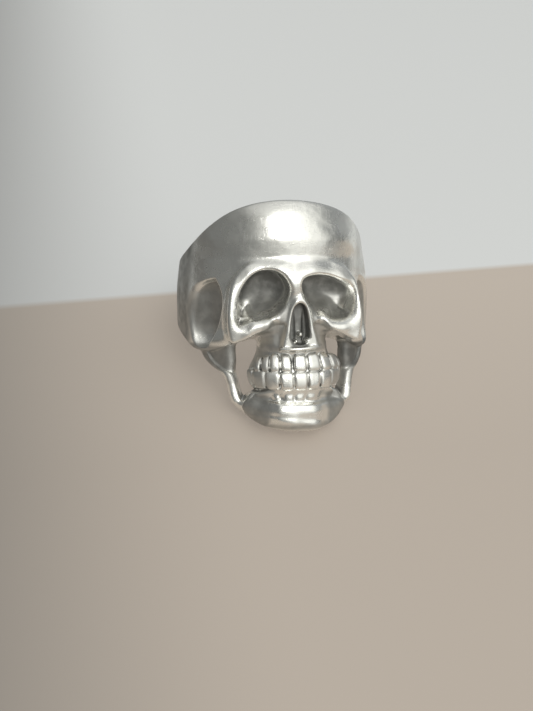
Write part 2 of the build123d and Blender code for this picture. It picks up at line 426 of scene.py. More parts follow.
class Outline:
    """A closed smooth outline through a few points, read as distances, below zero inside."""

    def __init__(self, points: Rows, reach: float = 2.5, cell: float = 0.06) -> None:
        """Draws the outline and charts the distances around it.

        Args:
            points: The outline's points in order, each (across, up) in millimetres.
            reach: How far past the outline the chart goes.
            cell: The chart's step.
        """
        line = self._smooth(np.array(points, np.float64))
        self.low = line.min(axis=0) - reach
        self.cell = cell
        size = np.ceil((line.max(axis=0) + reach - self.low) / cell).astype(int) + 1
        across = (self.low[0] + cell * np.arange(size[0]))[:, None]
        up = (self.low[1] + cell * np.arange(size[1]))[None, :]
        near = np.full((size[0], size[1]), 1e9)
        crossings = np.zeros(near.shape, int)
        for start, end in zip(line, np.roll(line, -1, axis=0)):
            run = end - start
            way = ((across - start[0]) * run[0] + (up - start[1]) * run[1]) / max(run @ run, 1e-12)
            way = np.clip(way, 0, 1)
            gap = (across - start[0] - way * run[0]) ** 2 + (up - start[1] - way * run[1]) ** 2
            near = np.minimum(near, gap)
            if start[1] != end[1]:
                spans = (start[1] > up) != (end[1] > up)
                crossings += spans & (across < start[0] + (up - start[1]) * run[0] / run[1])
        self.chart = np.where(crossings % 2 == 1, -np.sqrt(near), np.sqrt(near)).astype(np.float32)

    @staticmethod
    def _smooth(points: Grid, pieces: int = 10) -> Grid:
        """Points along a smooth closed curve.

        Args:
            points: The points that it passes through.
            pieces: Short straight pieces between two of them.

        Returns:
            The curve's points in order.
        """
        before, after = np.roll(points, 1, axis=0), np.roll(points, -1, axis=0)
        slope = (after - before) / 2
        way = (np.arange(pieces) / pieces)[None, :, None]
        here, there = points[:, None], after[:, None]
        rise, next_rise = slope[:, None], np.roll(slope, -1, axis=0)[:, None]
        return bend(here, there, rise, next_rise, way).reshape(-1, 2)

    def __call__(self, across: Grid, up: Grid) -> Grid:
        """Distances from the outline.

        Args:
            across: Places across.
            up: Places up.

        Returns:
            One distance a place, below zero inside.
        """
        most = np.array(self.chart.shape) - 1.001
        right = np.clip((across - self.low[0]) / self.cell, 0, most[0])
        high = np.clip((up - self.low[1]) / self.cell, 0, most[1])
        column, row = right.astype(int), high.astype(int)
        way, lift = right - column, high - row
        foot = self.chart[column, row] * (1 - way) + self.chart[column + 1, row] * way
        head = self.chart[column, row + 1] * (1 - way) + self.chart[column + 1, row + 1] * way
        beyond = np.hypot((across - self.low[0]) / self.cell - right, (up - self.low[1]) / self.cell - high)
        return foot * (1 - lift) + head * lift + beyond * self.cell


class Clay:
    """Metal on a grid, each cell holding its distance from the surface, below zero inside."""

    def __init__(self, low: Point, high: Point, step: float) -> None:
        """Starts with an empty grid.

        Args:
            low: The grid's lowest corner, in millimetres.
            high: Its highest corner.
            step: Size of a cell.
        """
        self.low = np.array(low)
        self.step = step
        self.lean = 0.0         # how far new forms stand to the skull's left a millimetre below the eyes
        self.axes = [np.arange(a, b, step, dtype=np.float32) for a, b in zip(low, high)]
        self.metal = np.full([len(axis) for axis in self.axes], FAR, np.float32)

    def box(self, low: Point, high: Point) -> tuple[tuple[slice, ...], Place]:
        """The cells of a box.

        Args:
            low: The box's lowest corner.
            high: Its highest corner.

        Returns:
            The cells' slices, and their places along X, Y and Z.
        """
        cells = tuple(slice(*np.searchsorted(axis, (a, b))) for axis, a, b in zip(self.axes, low, high))
        x, y, z = np.ix_(*[axis[cell] for axis, cell in zip(self.axes, cells)])
        leaning = x + self.lean * np.minimum(z, 0) if self.lean else x
        return cells, (leaning, y, z)

    def add(self, form: Form, low: Point, high: Point, soft: float) -> None:
        """Adds a form inside a box.

        Args:
            form: Gives distances from the form.
            low: The box's lowest corner.
            high: Its highest corner.
            soft: Size of the fillet where it meets the rest.
        """
        cells, places = self.box(low, high)
        self.metal[cells] = melt(self.metal[cells], form(places), soft)

    def carve(self, form: Form, low: Point, high: Point, soft: float | Form) -> None:
        """Carves a form inside a box.

        Args:
            form: Gives distances from the form.
            low: The box's lowest corner.
            high: Its highest corner.
            soft: Size of its edges' rounding, the same all over or by place.
        """
        cells, places = self.box(low, high)
        rounding = soft(places) if callable(soft) else soft
        self.metal[cells] = meet(self.metal[cells], -form(places), rounding)

    def press(self, depth: Form, low: Point, high: Point) -> None:
        """Moves the surface inwards inside a box.

        Args:
            depth: Gives how far it moves.
            low: The box's lowest corner.
            high: Its highest corner.
        """
        cells, places = self.box(low, high)
        self.metal[cells] += depth(places)

    def add_mesh(self, mesh: bpy.types.Mesh, soft: float, band: float = 0.8) -> None:
        """Adds a closed mesh in millimetres.

        Args:
            mesh: The mesh, made of triangles and quads.
            soft: Size of the fillet where it meets the rest.
            band: How far from the mesh its distances are worked out.
        """
        points = points_of(mesh)
        points[:, 0] -= self.lean * np.minimum(points[:, 2], 0)
        mesh.calc_loop_triangles()
        corners = np.empty(len(mesh.loop_triangles) * 3, np.int32)
        mesh.loop_triangles.foreach_get("vertices", corners)
        cells, _ = self.box(points.min(axis=0) - band, points.max(axis=0) + band)
        start = np.array([cell.start for cell in cells])
        cut = (points - self.low) / self.step - start
        size = [cell.stop - cell.start for cell in cells]
        distances = distances_from(cut, size, band / self.step, triangles=corners.reshape(-1, 3))
        self.metal[cells] = melt(self.metal[cells], distances * self.step, soft)

    def read(self, points: Grid) -> Grid:
        """Distances at free points, between the cells.

        Args:
            points: Points in millimetres, one a row.

        Returns:
            One distance for each.
        """
        most = np.array(self.metal.shape) - 1.001
        place = np.clip((points - self.low) / self.step, 0, most)
        cell = place.astype(int)
        way = (place - cell).astype(np.float32)
        total = np.zeros(len(points), np.float32)
        for corner in np.ndindex(2, 2, 2):
            share = np.prod(np.where(corner, way, 1 - way), axis=1)
            i, j, k = (cell + corner).T
            total += share * self.metal[i, j, k]
        return total

    def slopes(self, points: Grid) -> Grid:
        """Outward directions of the surface at free points.

        Args:
            points: Points in millimetres, one a row.

        Returns:
            One unit vector for each.
        """
        reach = self.step * np.eye(3)
        ways = [self.read(points + one) - self.read(points - one) for one in reach]
        normals = np.stack(ways, axis=1)
        return normals / np.maximum(np.linalg.norm(normals, axis=1, keepdims=True), 1e-9)

    def surface(self) -> tuple[Grid, Grid]:
        """The metal's surface.

        Returns:
            Its points in millimetres, and its quads.
        """
        grid = openvdb.FloatGrid(FAR)
        grid.copyFromArray(self.metal)
        points, _, quads = grid.convertToPolygons(0.0, 0.0)
        return points * self.step + self.low, quads


@dataclass
class Lie:
    """How the ring lies: its bore's tilt from upright and the place of the bore's middle."""

    tilt: float
    middle: Point

    @classmethod
    def from_record(cls, record: dict) -> "Lie":
        """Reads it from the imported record's finger bore.

        Args:
            record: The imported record.

        Returns:
            The ring's lie, in radians and metres.
        """
        bore = next(mount for mount in record["mounts"] if mount["kind"] == "bore")
        return cls(math.atan2(bore["axis"][1], bore["axis"][2]), tuple(bore["pos_m"]))

    @property
    def matrix(self) -> Matrix:
        """Turns the drawing frame, in millimetres, into the resting one, in metres."""
        turn = Matrix.Rotation(-self.tilt, 4, "X")
        return Matrix.Translation(self.middle) @ turn @ Matrix.Scale(MILLIMETRE, 4)


@dataclass
class Crown:
    """The domed forehead, its slope down to the band, and the band round the back."""

    bore: float = BORE
    back_wall: float = 1.75     # metal outside the bore at the back of the band
    side_wall: float = 1.97     # the same at its sides
    brow_wall: float = 3.2      # the same at the forehead
    sway: float = -0.1          # how far the outside stands to the skull's right
    edge: float = 0.5           # rounding of the cut edges
    ease: float = 0.35          # rounding of the bore's edges
    turn: float = 0.10          # how much the top of the dome is turned to the skull's right
    # Columns: height, then the shares of the brow's and the side's wall outside the bore there.
    sections: Rows = (
        (-9.9, 0.80, 0.90), (-3.5, 0.92, 1.00), (1.2, 0.97, 0.99),
        (3.4, 0.97, 0.86), (4.2, 0.94, 0.80), (4.9, 0.915, 0.74), (5.7, 0.945, 0.66), (6.5, 0.976, 0.59),
        (7.1, 0.988, 0.53), (7.7, 0.960, 0.47), (8.4, 0.895, 0.41), (10.3, 0.68, 0.33), (12.3, 0.28, 0.26),
    )
    # The cut edge of the crown from the side. Columns: place along Y, height.
    top_edge: Rows = (
        (-15.5, 14.2), (-10.9, 11.6), (-7.0, 8.85), (-3.6, 6.45), (0.0, 4.8),
        (4.0, 4.05), (8.0, 3.15), (11.65, 2.8), (15.0, 2.75),
    )
    # The lower edge, behind the cheekbones. Columns: place along Y, height.
    foot_edge: Rows = (
        (-15.5, -2.6), (-11.6, -3.6), (-10.0, -4.2), (-8.5, -5.0), (-7.0, -5.8), (-5.4, -6.0), (-3.0, -5.1),
        (0.0, -4.2), (4.0, -3.6), (8.0, -3.0), (11.65, -2.8), (15.0, -2.8),
    )

    @staticmethod
    def upright(edge: Curve, y: Grid) -> Grid:
        """Cosine of an edge's slope, which turns heights over it into distances."""
        return np.cos(np.arctan(np.gradient(edge(y).ravel(), y.ravel())))[None, :, None]

    def form(self, at: Place) -> Grid:
        """Distances from the crown and band, with the bore still filled.

        Args:
            at: Places along X, Y and Z.

        Returns:
            One distance a place, below zero inside.
        """
        x, y, z = at
        brow, flank = [curve(z) for curve in curves(self.sections)]
        front, side = self.bore + self.brow_wall * brow, self.bore + self.side_wall * flank
        back = self.bore + self.back_wall
        wall = oval(x - self.sway, y - (back - front) / 2, side, (back + front) / 2)
        wall = wall + self.turn * x * hump(x, 0.0, 5.0) * hump(z, 10.2, 2.2) * (y < 0)
        top, foot = Curve(self.top_edge), Curve(self.foot_edge)
        above = (z - top(y)) * self.upright(top, y)
        below = (foot(y) - z) * self.upright(foot, y)
        return meet(meet(wall, above, self.edge), below, self.edge)

    def shape(self, clay: Clay) -> None:
        """Adds the crown and the band to the clay."""
        clay.add(self.form, (-13, -14.5, -10), (13, 13, 12.5), self.edge)

    def hole(self, at: Place) -> Grid:
        """Distances from the finger bore."""
        x, y, z = at
        return np.hypot(x, y) - self.bore + 0 * z

    def bore_out(self, clay: Clay) -> None:
        """Cuts the finger bore through everything, with its edges eased for the finger."""
        clay.carve(self.hole, (-13, -16, -16), (13, 13, 13), self.ease)


@dataclass
class Socket:
    """One eye socket: a bowl with a rounded lip, rough at its foot."""

    side: Side
    outline: Rows               # columns: distance from the midline, height
    floor: float = 10.3         # the bore's axis to the deepest spot of the bowl, under the brow
    foot_floor: float = 11.5    # the same over the lower lid
    bowl: float = 0.7           # how much shallower the bowl is beside its wall
    inset: float = 0.9          # how much narrower the bowl is at its floor, over the lower lid
    mouth: float = 13.3         # the bore's axis to the socket's mouth
    lip: float = 0.36           # how far the lip stands out
    crest: float = 0.75         # the outline to the lip's crest, at the foot
    brow_crest: float = 0.35    # the same at the brow
    lip_width: float = 0.80     # how softly it falls away at the foot
    brow_width: float = 0.30    # how much more softly at the brow
    patina_and_shade: float = 0.62       # how dark its foot is painted: patina with painted shade
    crisp: float = 0.5          # rounding of the lip's inner edge under the brow and beside the nose
    soft: float = 0.9           # the same elsewhere
    rough: float = 0.07         # height of the mould's lumps at its outer foot
    basin: float = 1.2          # rounding between the bowl's wall and its floor

    def __post_init__(self) -> None:
        """Charts the socket's outline."""
        self.chart = Outline(tuple((self.side.value * x, z) for x, z in self.outline))

    def lip_height(self, x: Grid, z: Grid) -> Grid:
        """How far the lip raises the face at each place.

        Args:
            x: Places along X.
            z: Places along Z.

        Returns:
            Heights in millimetres.
        """
        high = fade(z, 0.0, 3.0)
        away = self.chart(x, z) - self.crest + (self.crest - self.brow_crest) * high
        wide = self.lip_width + self.brow_width * high * (away > 0)
        side = np.abs(x)
        low = (1 - 0.6 * fade(side, 5.5, 7.0)) * (1 - 0.7 * fade(-side, -3.2, -1.8) * fade(-z, -1.2, 0.2))
        return self.lip * low * hump(away / wide, 0.0, 1.0)

    def form(self, at: Place) -> Grid:
        """Distances from the hollow of the bowl.

        Args:
            at: Places along X, Y and Z.

        Returns:
            One distance a place, below zero inside.
        """
        x, y, z = at
        low = fade(-z, -1.0, 1.8)
        way = np.clip((self.mouth + y) / (self.mouth - self.floor), -0.2, 1.0)
        outer = fade(np.abs(x), 3.5, 6.5)
        slant = self.inset * (1 - (1 - low) * (1 - 0.35 * outer))
        wall = self.chart(x + 0 * y, z + 0 * y) + slant * way * np.abs(way)
        rise = np.clip(1 + self.chart(x, z) / 2.6, 0.0, 1.0)
        deep = self.floor + (self.foot_floor - self.floor) * (1 - (1 - low) * (1 - 0.75 * outer))
        floor = deep + self.bowl * rise * rise - np.hypot(x, y)
        lump = self.rough * (lumps(at, 0.6, 5) + 0.5 * lumps(at, 0.42, 6))
        lump = lump * fade(-z, -0.2, 0.8) * fade(-x - 0.8 * z, 6.2, 7.2)
        return meet(wall, floor, self.basin) + lump

    def rounding(self, at: Place) -> Grid:
        """How round the lip's inner edge is at each place.

        Args:
            at: Places along X, Y and Z.

        Returns:
            One size a place, in millimetres.
        """
        x, y, z = at
        wide = (1 - fade(z - 0.35 * np.abs(x), -1.0, 1.2)) * fade(np.abs(x), 1.4, 3.2)
        return self.crisp + (self.soft - self.crisp) * wide + 0 * y

    def shape(self, clay: Clay) -> None:
        """Carves the socket."""
        ends = (0.0, self.side.value * 9.0)
        clay.carve(self.form, (min(ends) - 0.6, -16, -4.5), (max(ends) + 0.6, -7, 5.0), self.rounding)


@dataclass
class Mask:
    """Brow, eye rims and cheekbones, on one broad curve across the face."""

    reach: float = 13.3         # bore axis to the front, away from the brow
    round: float = 34.0         # radius of the face in plan at the cheekbones
    brow_round: float = 19.0    # the same at the brow
    edge: float = 0.45          # rounding of the outline
    fillet: float = 0.2         # size of the fillet where it meets the crown
    brow: float = 0.06          # how far the brow stands out
    brow_fall: float = 0.46     # how far it falls back to the forehead over the brow
    slope: float = 0.12         # how much further the eyes' outer rims reach a millimetre lower
    slope_foot: float = -1.8    # height where that ends
    glabella: float = 0.34      # how far the spot over the nose stands out
    lip_end: tuple[float, float] = (-5.3, -4.3)     # depths between which the lips rise out of the forehead
    sockets: tuple[Socket, ...] = field(
        default_factory=lambda: (
            Socket(
                Side.RIGHT,
                (
                    (1.03, 1.05), (1.15, 2.03), (1.69, 2.95), (2.7, 3.6), (4.2, 3.6), (5.5, 2.85),
                    (6.35, 1.6), (6.85, 0.1), (7.0, -1.4), (6.6, -2.65), (5.27, -2.05), (3.91, -1.75),
                    (2.5, -1.36), (1.47, -0.3),
                ),
            ),
            Socket(
                Side.LEFT,
                (
                    (0.5, 1.45), (0.45, 2.3), (0.9, 2.85), (2.25, 3.1), (3.96, 2.9), (5.37, 2.35),
                    (6.5, 1.55), (7.0, 0.6), (7.0, -0.6), (6.7, -1.6), (5.8, -2.05), (4.4, -1.93),
                    (3.43, -1.4), (2.4, -1.28), (1.6, -0.5), (0.93, 0.65),
                ),
                patina_and_shade=0.38,
                soft=1.7,
            ),
        )
    )
    # Half of the mask's outline, from the top down. Columns: distance from the midline, height.
    half: Rows = (
        (1.6, 5.3), (4.0, 4.95), (6.2, 3.8), (7.5, 1.9),
        (7.95, -1.0), (8.0, -3.2), (7.6, -4.6), (6.4, -4.3), (5.0, -3.5), (3.6, -2.9), (1.5, -2.4),
    )

    def __post_init__(self) -> None:
        """Charts the outline, mirrored about the midline."""
        self.chart = Outline(self.half + mirrored(self.half))

    def form(self, at: Place) -> Grid:
        """Distances from the mask.

        Args:
            at: Places along X, Y and Z.

        Returns:
            One distance a place, below zero inside.
        """
        x, y, z = at
        curve = self.round + (self.brow_round - self.round) * fade(z, 0.0, 4.0)
        height = self.reach - x**2 / (2 * curve) + self.brow * hump(z, 3.9, 1.3) * hump(x, 0, 6.5)
        height = height - self.brow_fall * fade(z, 3.3, 5.3) * hump(x, 0.0, 7.5)
        rim = self.slope * np.maximum(z, self.slope_foot) * fade(np.abs(x), 1.2, 4.5)
        height = height - rim + self.glabella * hump(z, 2.3, 1.25) * hump(x, 0.1, 2.0)
        front = meet(self.chart(x, z) + 0 * y, -y - height, self.edge)
        return meet(front, y + 4.5, 0.5)

    def lips(self, at: Place) -> Grid:
        """How far the sockets' lips raise the face, below zero where they do.

        Args:
            at: Places along X, Y and Z.

        Returns:
            One depth a place, in millimetres, below zero where the surface rises.
        """
        x, y, z = at
        right, left = [socket.lip_height(x, z) for socket in self.sockets]
        return -np.maximum(right, left) * fade(-y, 8.5, 10.0) * fade(-z, *self.lip_end)

    def shape(self, clay: Clay) -> None:
        """Adds the mask and raises the sockets' lips."""
        clay.add(self.form, (-9.5, -15.2, -6), (9.5, -3, 7.5), self.fillet)
        clay.press(self.lips, (-9.5, -15.2, -6), (9.5, -8, 7.5))

    def carve(self, clay: Clay) -> None:
        """Carves the eye sockets."""
        for socket in self.sockets:
            socket.shape(clay)


@dataclass
class Temples:
    """The five-cornered hollows between the eye rims and the band."""

    angle: float = 54.5         # degrees round the bore from the face
    radius: float = 12.1        # the band's outside there
    floor: float = 10.9         # bore axis to the hollow's floor
    rise: float = 0.5           # how much shallower it is at its top
    shelve: float = 0.9         # how much shallower it is towards the band
    slant: float = 0.35         # how much narrower it is at its floor
    basin: float = 1.2          # rounding between its wall and its floor
    lip_rise: float = 0.04      # how far its edge is turned up
    # The outline from outside, face to the right. Columns: distance along the band, height.
    outline: Rows = (
        (1.8, 2.5), (2.15, 2.35), (2.8, 1.2), (3.05, 0.0), (2.8, -1.7), (2.1, -3.6), (1.35, -5.0),
        (0.6, -5.6), (-0.8, -5.6), (-1.9, -4.7), (-2.75, -2.6), (-2.75, -0.4), (-1.6, 1.3), (0.2, 2.1),
    )

    def __post_init__(self) -> None:
        """Charts the outline."""
        self.chart = Outline(self.outline)

    def along(self, x: Grid, y: Grid) -> Grid:
        """Distance along the band from the hollow's middle, towards the face."""
        return (math.radians(self.angle) - np.arctan2(np.abs(x), -y)) * self.radius

    def form(self, at: Place) -> Grid:
        """Distances from the two hollows.

        Args:
            at: Places along X, Y and Z.

        Returns:
            One distance a place, below zero inside.
        """
        x, y, z = at
        spread = np.hypot(x, y)
        way = np.clip((self.radius + 0.3 - spread) / 1.4, 0, 1)
        wall = self.chart(self.along(x, y) + 0 * z, z + 0 * x * y) + self.slant * way
        deep = self.floor + self.rise * fade(z, -4.6, 2.5)
        deep = deep + self.shelve * fade(-self.along(x, y), -0.8, 2.6)
        return meet(wall, deep - spread, self.basin)

    def lip(self, at: Place) -> Grid:
        """How far the hollow's edge is turned up.

        Args:
            at: Places along X, Y and Z.

        Returns:
            One depth a place, in millimetres, below zero where the surface rises.
        """
        x, y, z = at
        edge = self.chart(self.along(x, y) + 0 * z, z + 0 * x * y)
        return -self.lip_rise * hump(edge, 0.22, 0.25) * fade(np.hypot(x, y), 10.6, 11.4)

    def shape(self, clay: Clay) -> None:
        """Carves both hollows and turns up their edges.

        Args:
            clay: The clay to work.
        """
        for ends in ((-14, -2.5), (2.5, 14)):
            low, high = (ends[0], -13, -7), (ends[1], -1, 4)
            clay.press(self.lip, low, high)
            clay.carve(self.form, low, high, 0.22)


@dataclass
class CheekBars:
    """The bars that run from the cheekbones back into the band."""

    thick: float = 1.7
    steep: float = 0.35         # how steeply they run, on average
    degree: float = 0.19        # a degree round the bore, in millimetres
    fillet: float = 0.6         # where they meet the rest
    bore: float = BORE
    # Columns: degrees round the bore, metal outside the bore at the bar's middle, height.
    route: Rows = (
        (28.0, 2.5, -3.5), (42.0, 2.2, -4.7), (58.0, 1.5, -5.3), (76.0, 0.95, -4.4), (92.0, 0.6, -3.0),
    )

    def form(self, at: Place) -> Grid:
        """Distances from both bars.

        Args:
            at: Places along X, Y and Z.

        Returns:
            One distance a place, below zero inside.
        """
        x, y, z = at
        angle = np.degrees(np.arctan2(np.abs(x), -y))
        wall, level = [curve(angle) for curve in curves(self.route)]
        upright = math.cos(math.atan(self.steep))
        ends = np.maximum(self.route[0][0] - angle, angle - self.route[-1][0]) * self.degree
        bar = np.hypot(np.hypot(x, y) - self.bore - wall, (z - level) * upright) - self.thick / 2
        return meet(bar, ends + 0 * z, self.fillet)

    def shape(self, clay: Clay) -> None:
        """Adds both bars."""
        clay.add(self.form, (-14, -14, -8), (14, 2.5, -1), self.fillet)


@dataclass
class Nose:
    """The bridge, the walls that part from it and the opening between them."""

    middle: float = 10.4        # bore axis to the middle of the nose's ellipses
    # Columns: height, half width, bore axis to the front.
    sections: Rows = (
        (4.7, 1.25, 13.1), (3.4, 0.95, 12.95), (2.2, 0.80, 12.75), (1.1, 0.95, 13.0), (0.0, 1.30, 13.3),
        (-1.2, 1.5, 13.4), (-2.4, 1.7, 13.4), (-4.4, 1.9, 13.4), (-5.2, 1.9, 13.3), (-5.9, 1.7, 13.0),
    )
    # The opening. Columns: place along X, height.
    opening: Rows = (
        (0.2, -0.1), (0.72, -0.45), (1.0, -1.3), (1.22, -2.7), (1.25, -3.9), (0.85, -4.75), (0.2, -4.9),
        (-0.45, -4.75), (-0.9, -3.9), (-0.88, -2.7), (-0.7, -1.3), (-0.38, -0.45),
    )
    # The frame round the opening. Columns: place along X, height.
    frame: Rows = (
        (0.15, 0.75), (-0.5, 0.3), (-1.0, -0.9), (-1.35, -2.6), (-1.75, -4.4), (-1.8, -5.2), (-1.2, -5.5),
        (0.4, -5.55), (2.0, -5.5), (2.5, -5.2), (2.35, -4.4), (1.8, -2.6), (1.4, -0.9), (0.85, 0.3),
    )
    frame_front: float = 13.95  # bore axis to the frame's front at the line of the eyes
    frame_slope: float = 0.06   # how much further back it stands a millimetre lower
    middle_x: float = 0.12      # how far the nose stands to the skull's left
    floor: float = 12.3         # bore axis to the bottom of the opening
    blade: float = 0.30         # half of the septum's thickness at its front
    # Beads of metal at the foot of the opening. Columns: x, y, z, radius.
    beads: Rows = ((0.27, -12.95, -3.7, 0.34), (-0.25, -13.0, -4.5, 0.30), (1.1, -13.0, -4.45, 0.30))
    bead_length: float = 0.65   # half of a bead's length
    round: float = 0.45         # rounding of the opening's edge
    crisp: float = 0.15         # the same at its foot

    def __post_init__(self) -> None:
        """Charts the opening and the frame round it."""
        self.chart = Outline(self.opening, 1.5, 0.04)
        self.frame_chart = Outline(self.frame)

    def form(self, at: Place) -> Grid:
        """Distances from the nose, with its opening still filled.

        Args:
            at: Places along X, Y and Z.

        Returns:
            One distance a place, below zero inside.
        """
        x, y, z = at
        half, front = [curve(z) for curve in curves(self.sections)]
        body = oval(x - self.middle_x * fade(-z, -2.0, 0.0), y + self.middle, half, front - self.middle)
        bridge = meet(body, np.maximum(z - 4.2, -5.6 - z) + 0 * x * y, 0.8)
        front = self.frame_front + self.frame_slope * np.minimum(z, 0)
        plate = meet(self.frame_chart(x, z) + 0 * y, -y - front + 0 * x, 0.5)
        return melt(bridge, meet(plate, y + 11.5, 0.3), 0.4)

    def hollow(self, at: Place) -> Grid:
        """Distances from the opening, with the septum standing in it.

        Args:
            at: Places along X, Y and Z.

        Returns:
            One distance a place, below zero inside.
        """
        x, y, z = at
        depth = meet(self.chart(x, z) + 0 * y, self.floor + y + 0 * x * z, 0.5)
        front = self.floor + 0.05 + 0.25 * fade(-z, 0.5, 3.6)
        thick = self.blade + 0.3 * np.clip(front + y, 0, 2)
        septum = np.maximum(np.abs(x - 0.2) - thick, -y - front)
        return meet(depth, -septum, 0.6)

    def shape(self, clay: Clay) -> None:
        """Adds the nose."""
        clay.add(self.form, (-4, -15.5, -7), (4, -8.5, 6), 0.45)

    def edge(self, at: Place) -> Grid:
        """How round the opening's edge is, sharper at its foot."""
        x, y, z = at
        return self.round - (self.round - self.crisp) * fade(-z, 2.8, 4.2) + 0 * x * y

    def carve(self, clay: Clay) -> None:
        """Carves the opening and sets its beads.

        Args:
            clay: The clay to work.
        """
        clay.carve(self.hollow, (-2.6, -15.5, -6.5), (2.8, -10.5, 2), self.edge)
        for x, y, z, size in self.beads:
            bead = partial(ball, middle=(x, y, z), size=(size, self.bead_length, size))
            clay.add(bead, (x - 1.2, y - 2, z - 1.2), (x + 1.2, y + 2, z + 1.2), 0.1)


@dataclass
class UpperJaw:
    """The bone under the nose and the cheekbones, down to the upper gum."""

    middle: float = 9.3         # bore axis to the middle of its ellipses
    ledge_half: float = 4.1     # half width of the ledge over the front teeth
    ledge_front: float = 14.15  # bore axis to the ledge's front
    ledge_round: float = 0.2    # half of its thickness
    # Columns: height, half width, bore axis to the front.
    sections: Rows = (
        (-0.6, 2.4, 12.6), (-1.8, 3.0, 12.9), (-2.8, 3.5, 13.1), (-4.2, 4.0, 13.3), (-5.2, 4.2, 13.4),
        (-6.0, 4.3, 13.15), (-7.0, 4.7, 13.1), (-8.0, 5.2, 13.5), (-9.0, 5.3, 13.3), (-10.6, 5.2, 12.9),
    )

    def form(self, at: Place) -> Grid:
        """Distances from the upper jaw.

        Args:
            at: Places along X, Y and Z.

        Returns:
            One distance a place, below zero inside.
        """
        x, y, z = at
        half, front = [curve(z) for curve in curves(self.sections)]
        body = oval(x, y + self.middle, half, front - self.middle)
        return meet(body, np.maximum(z + 0.6, -10.5 - z) + 0 * x * y, 0.8)

    def fossa(self, at: Place) -> Grid:
        """Distances from the hollows beside the nose."""
        x, y, z = at
        return ball((np.abs(x), y, z), (2.75, -13.6, -3.7), (0.75, 1.0, 1.7))

    def gum(self, at: Place) -> Grid:
        """Distances from the thin ledge between the nose and the teeth.

        Args:
            at: Places along X, Y and Z.

        Returns:
            One distance a place, below zero inside.
        """
        x, y, z = at
        ring = oval(x, y + self.middle, self.ledge_half, self.ledge_front - self.middle)
        return np.hypot(np.maximum(ring, -0.6), z + 5.3 - 0.04 * x) - self.ledge_round

    def shape(self, clay: Clay) -> None:
        """Adds the upper jaw and works its front."""
        clay.add(self.form, (-6.5, -15, -13), (6.5, -6, 1.5), 0.7)
        clay.carve(self.fossa, (-4.5, -15.5, -6.5), (4.5, -11.5, -0.5), 0.6)

    def ledge(self, clay: Clay) -> None:
        """Adds the ledge over the front teeth."""
        clay.add(self.gum, (-2.3, -15.3, -6.3), (2.9, -12.5, -4.4), 0.25)


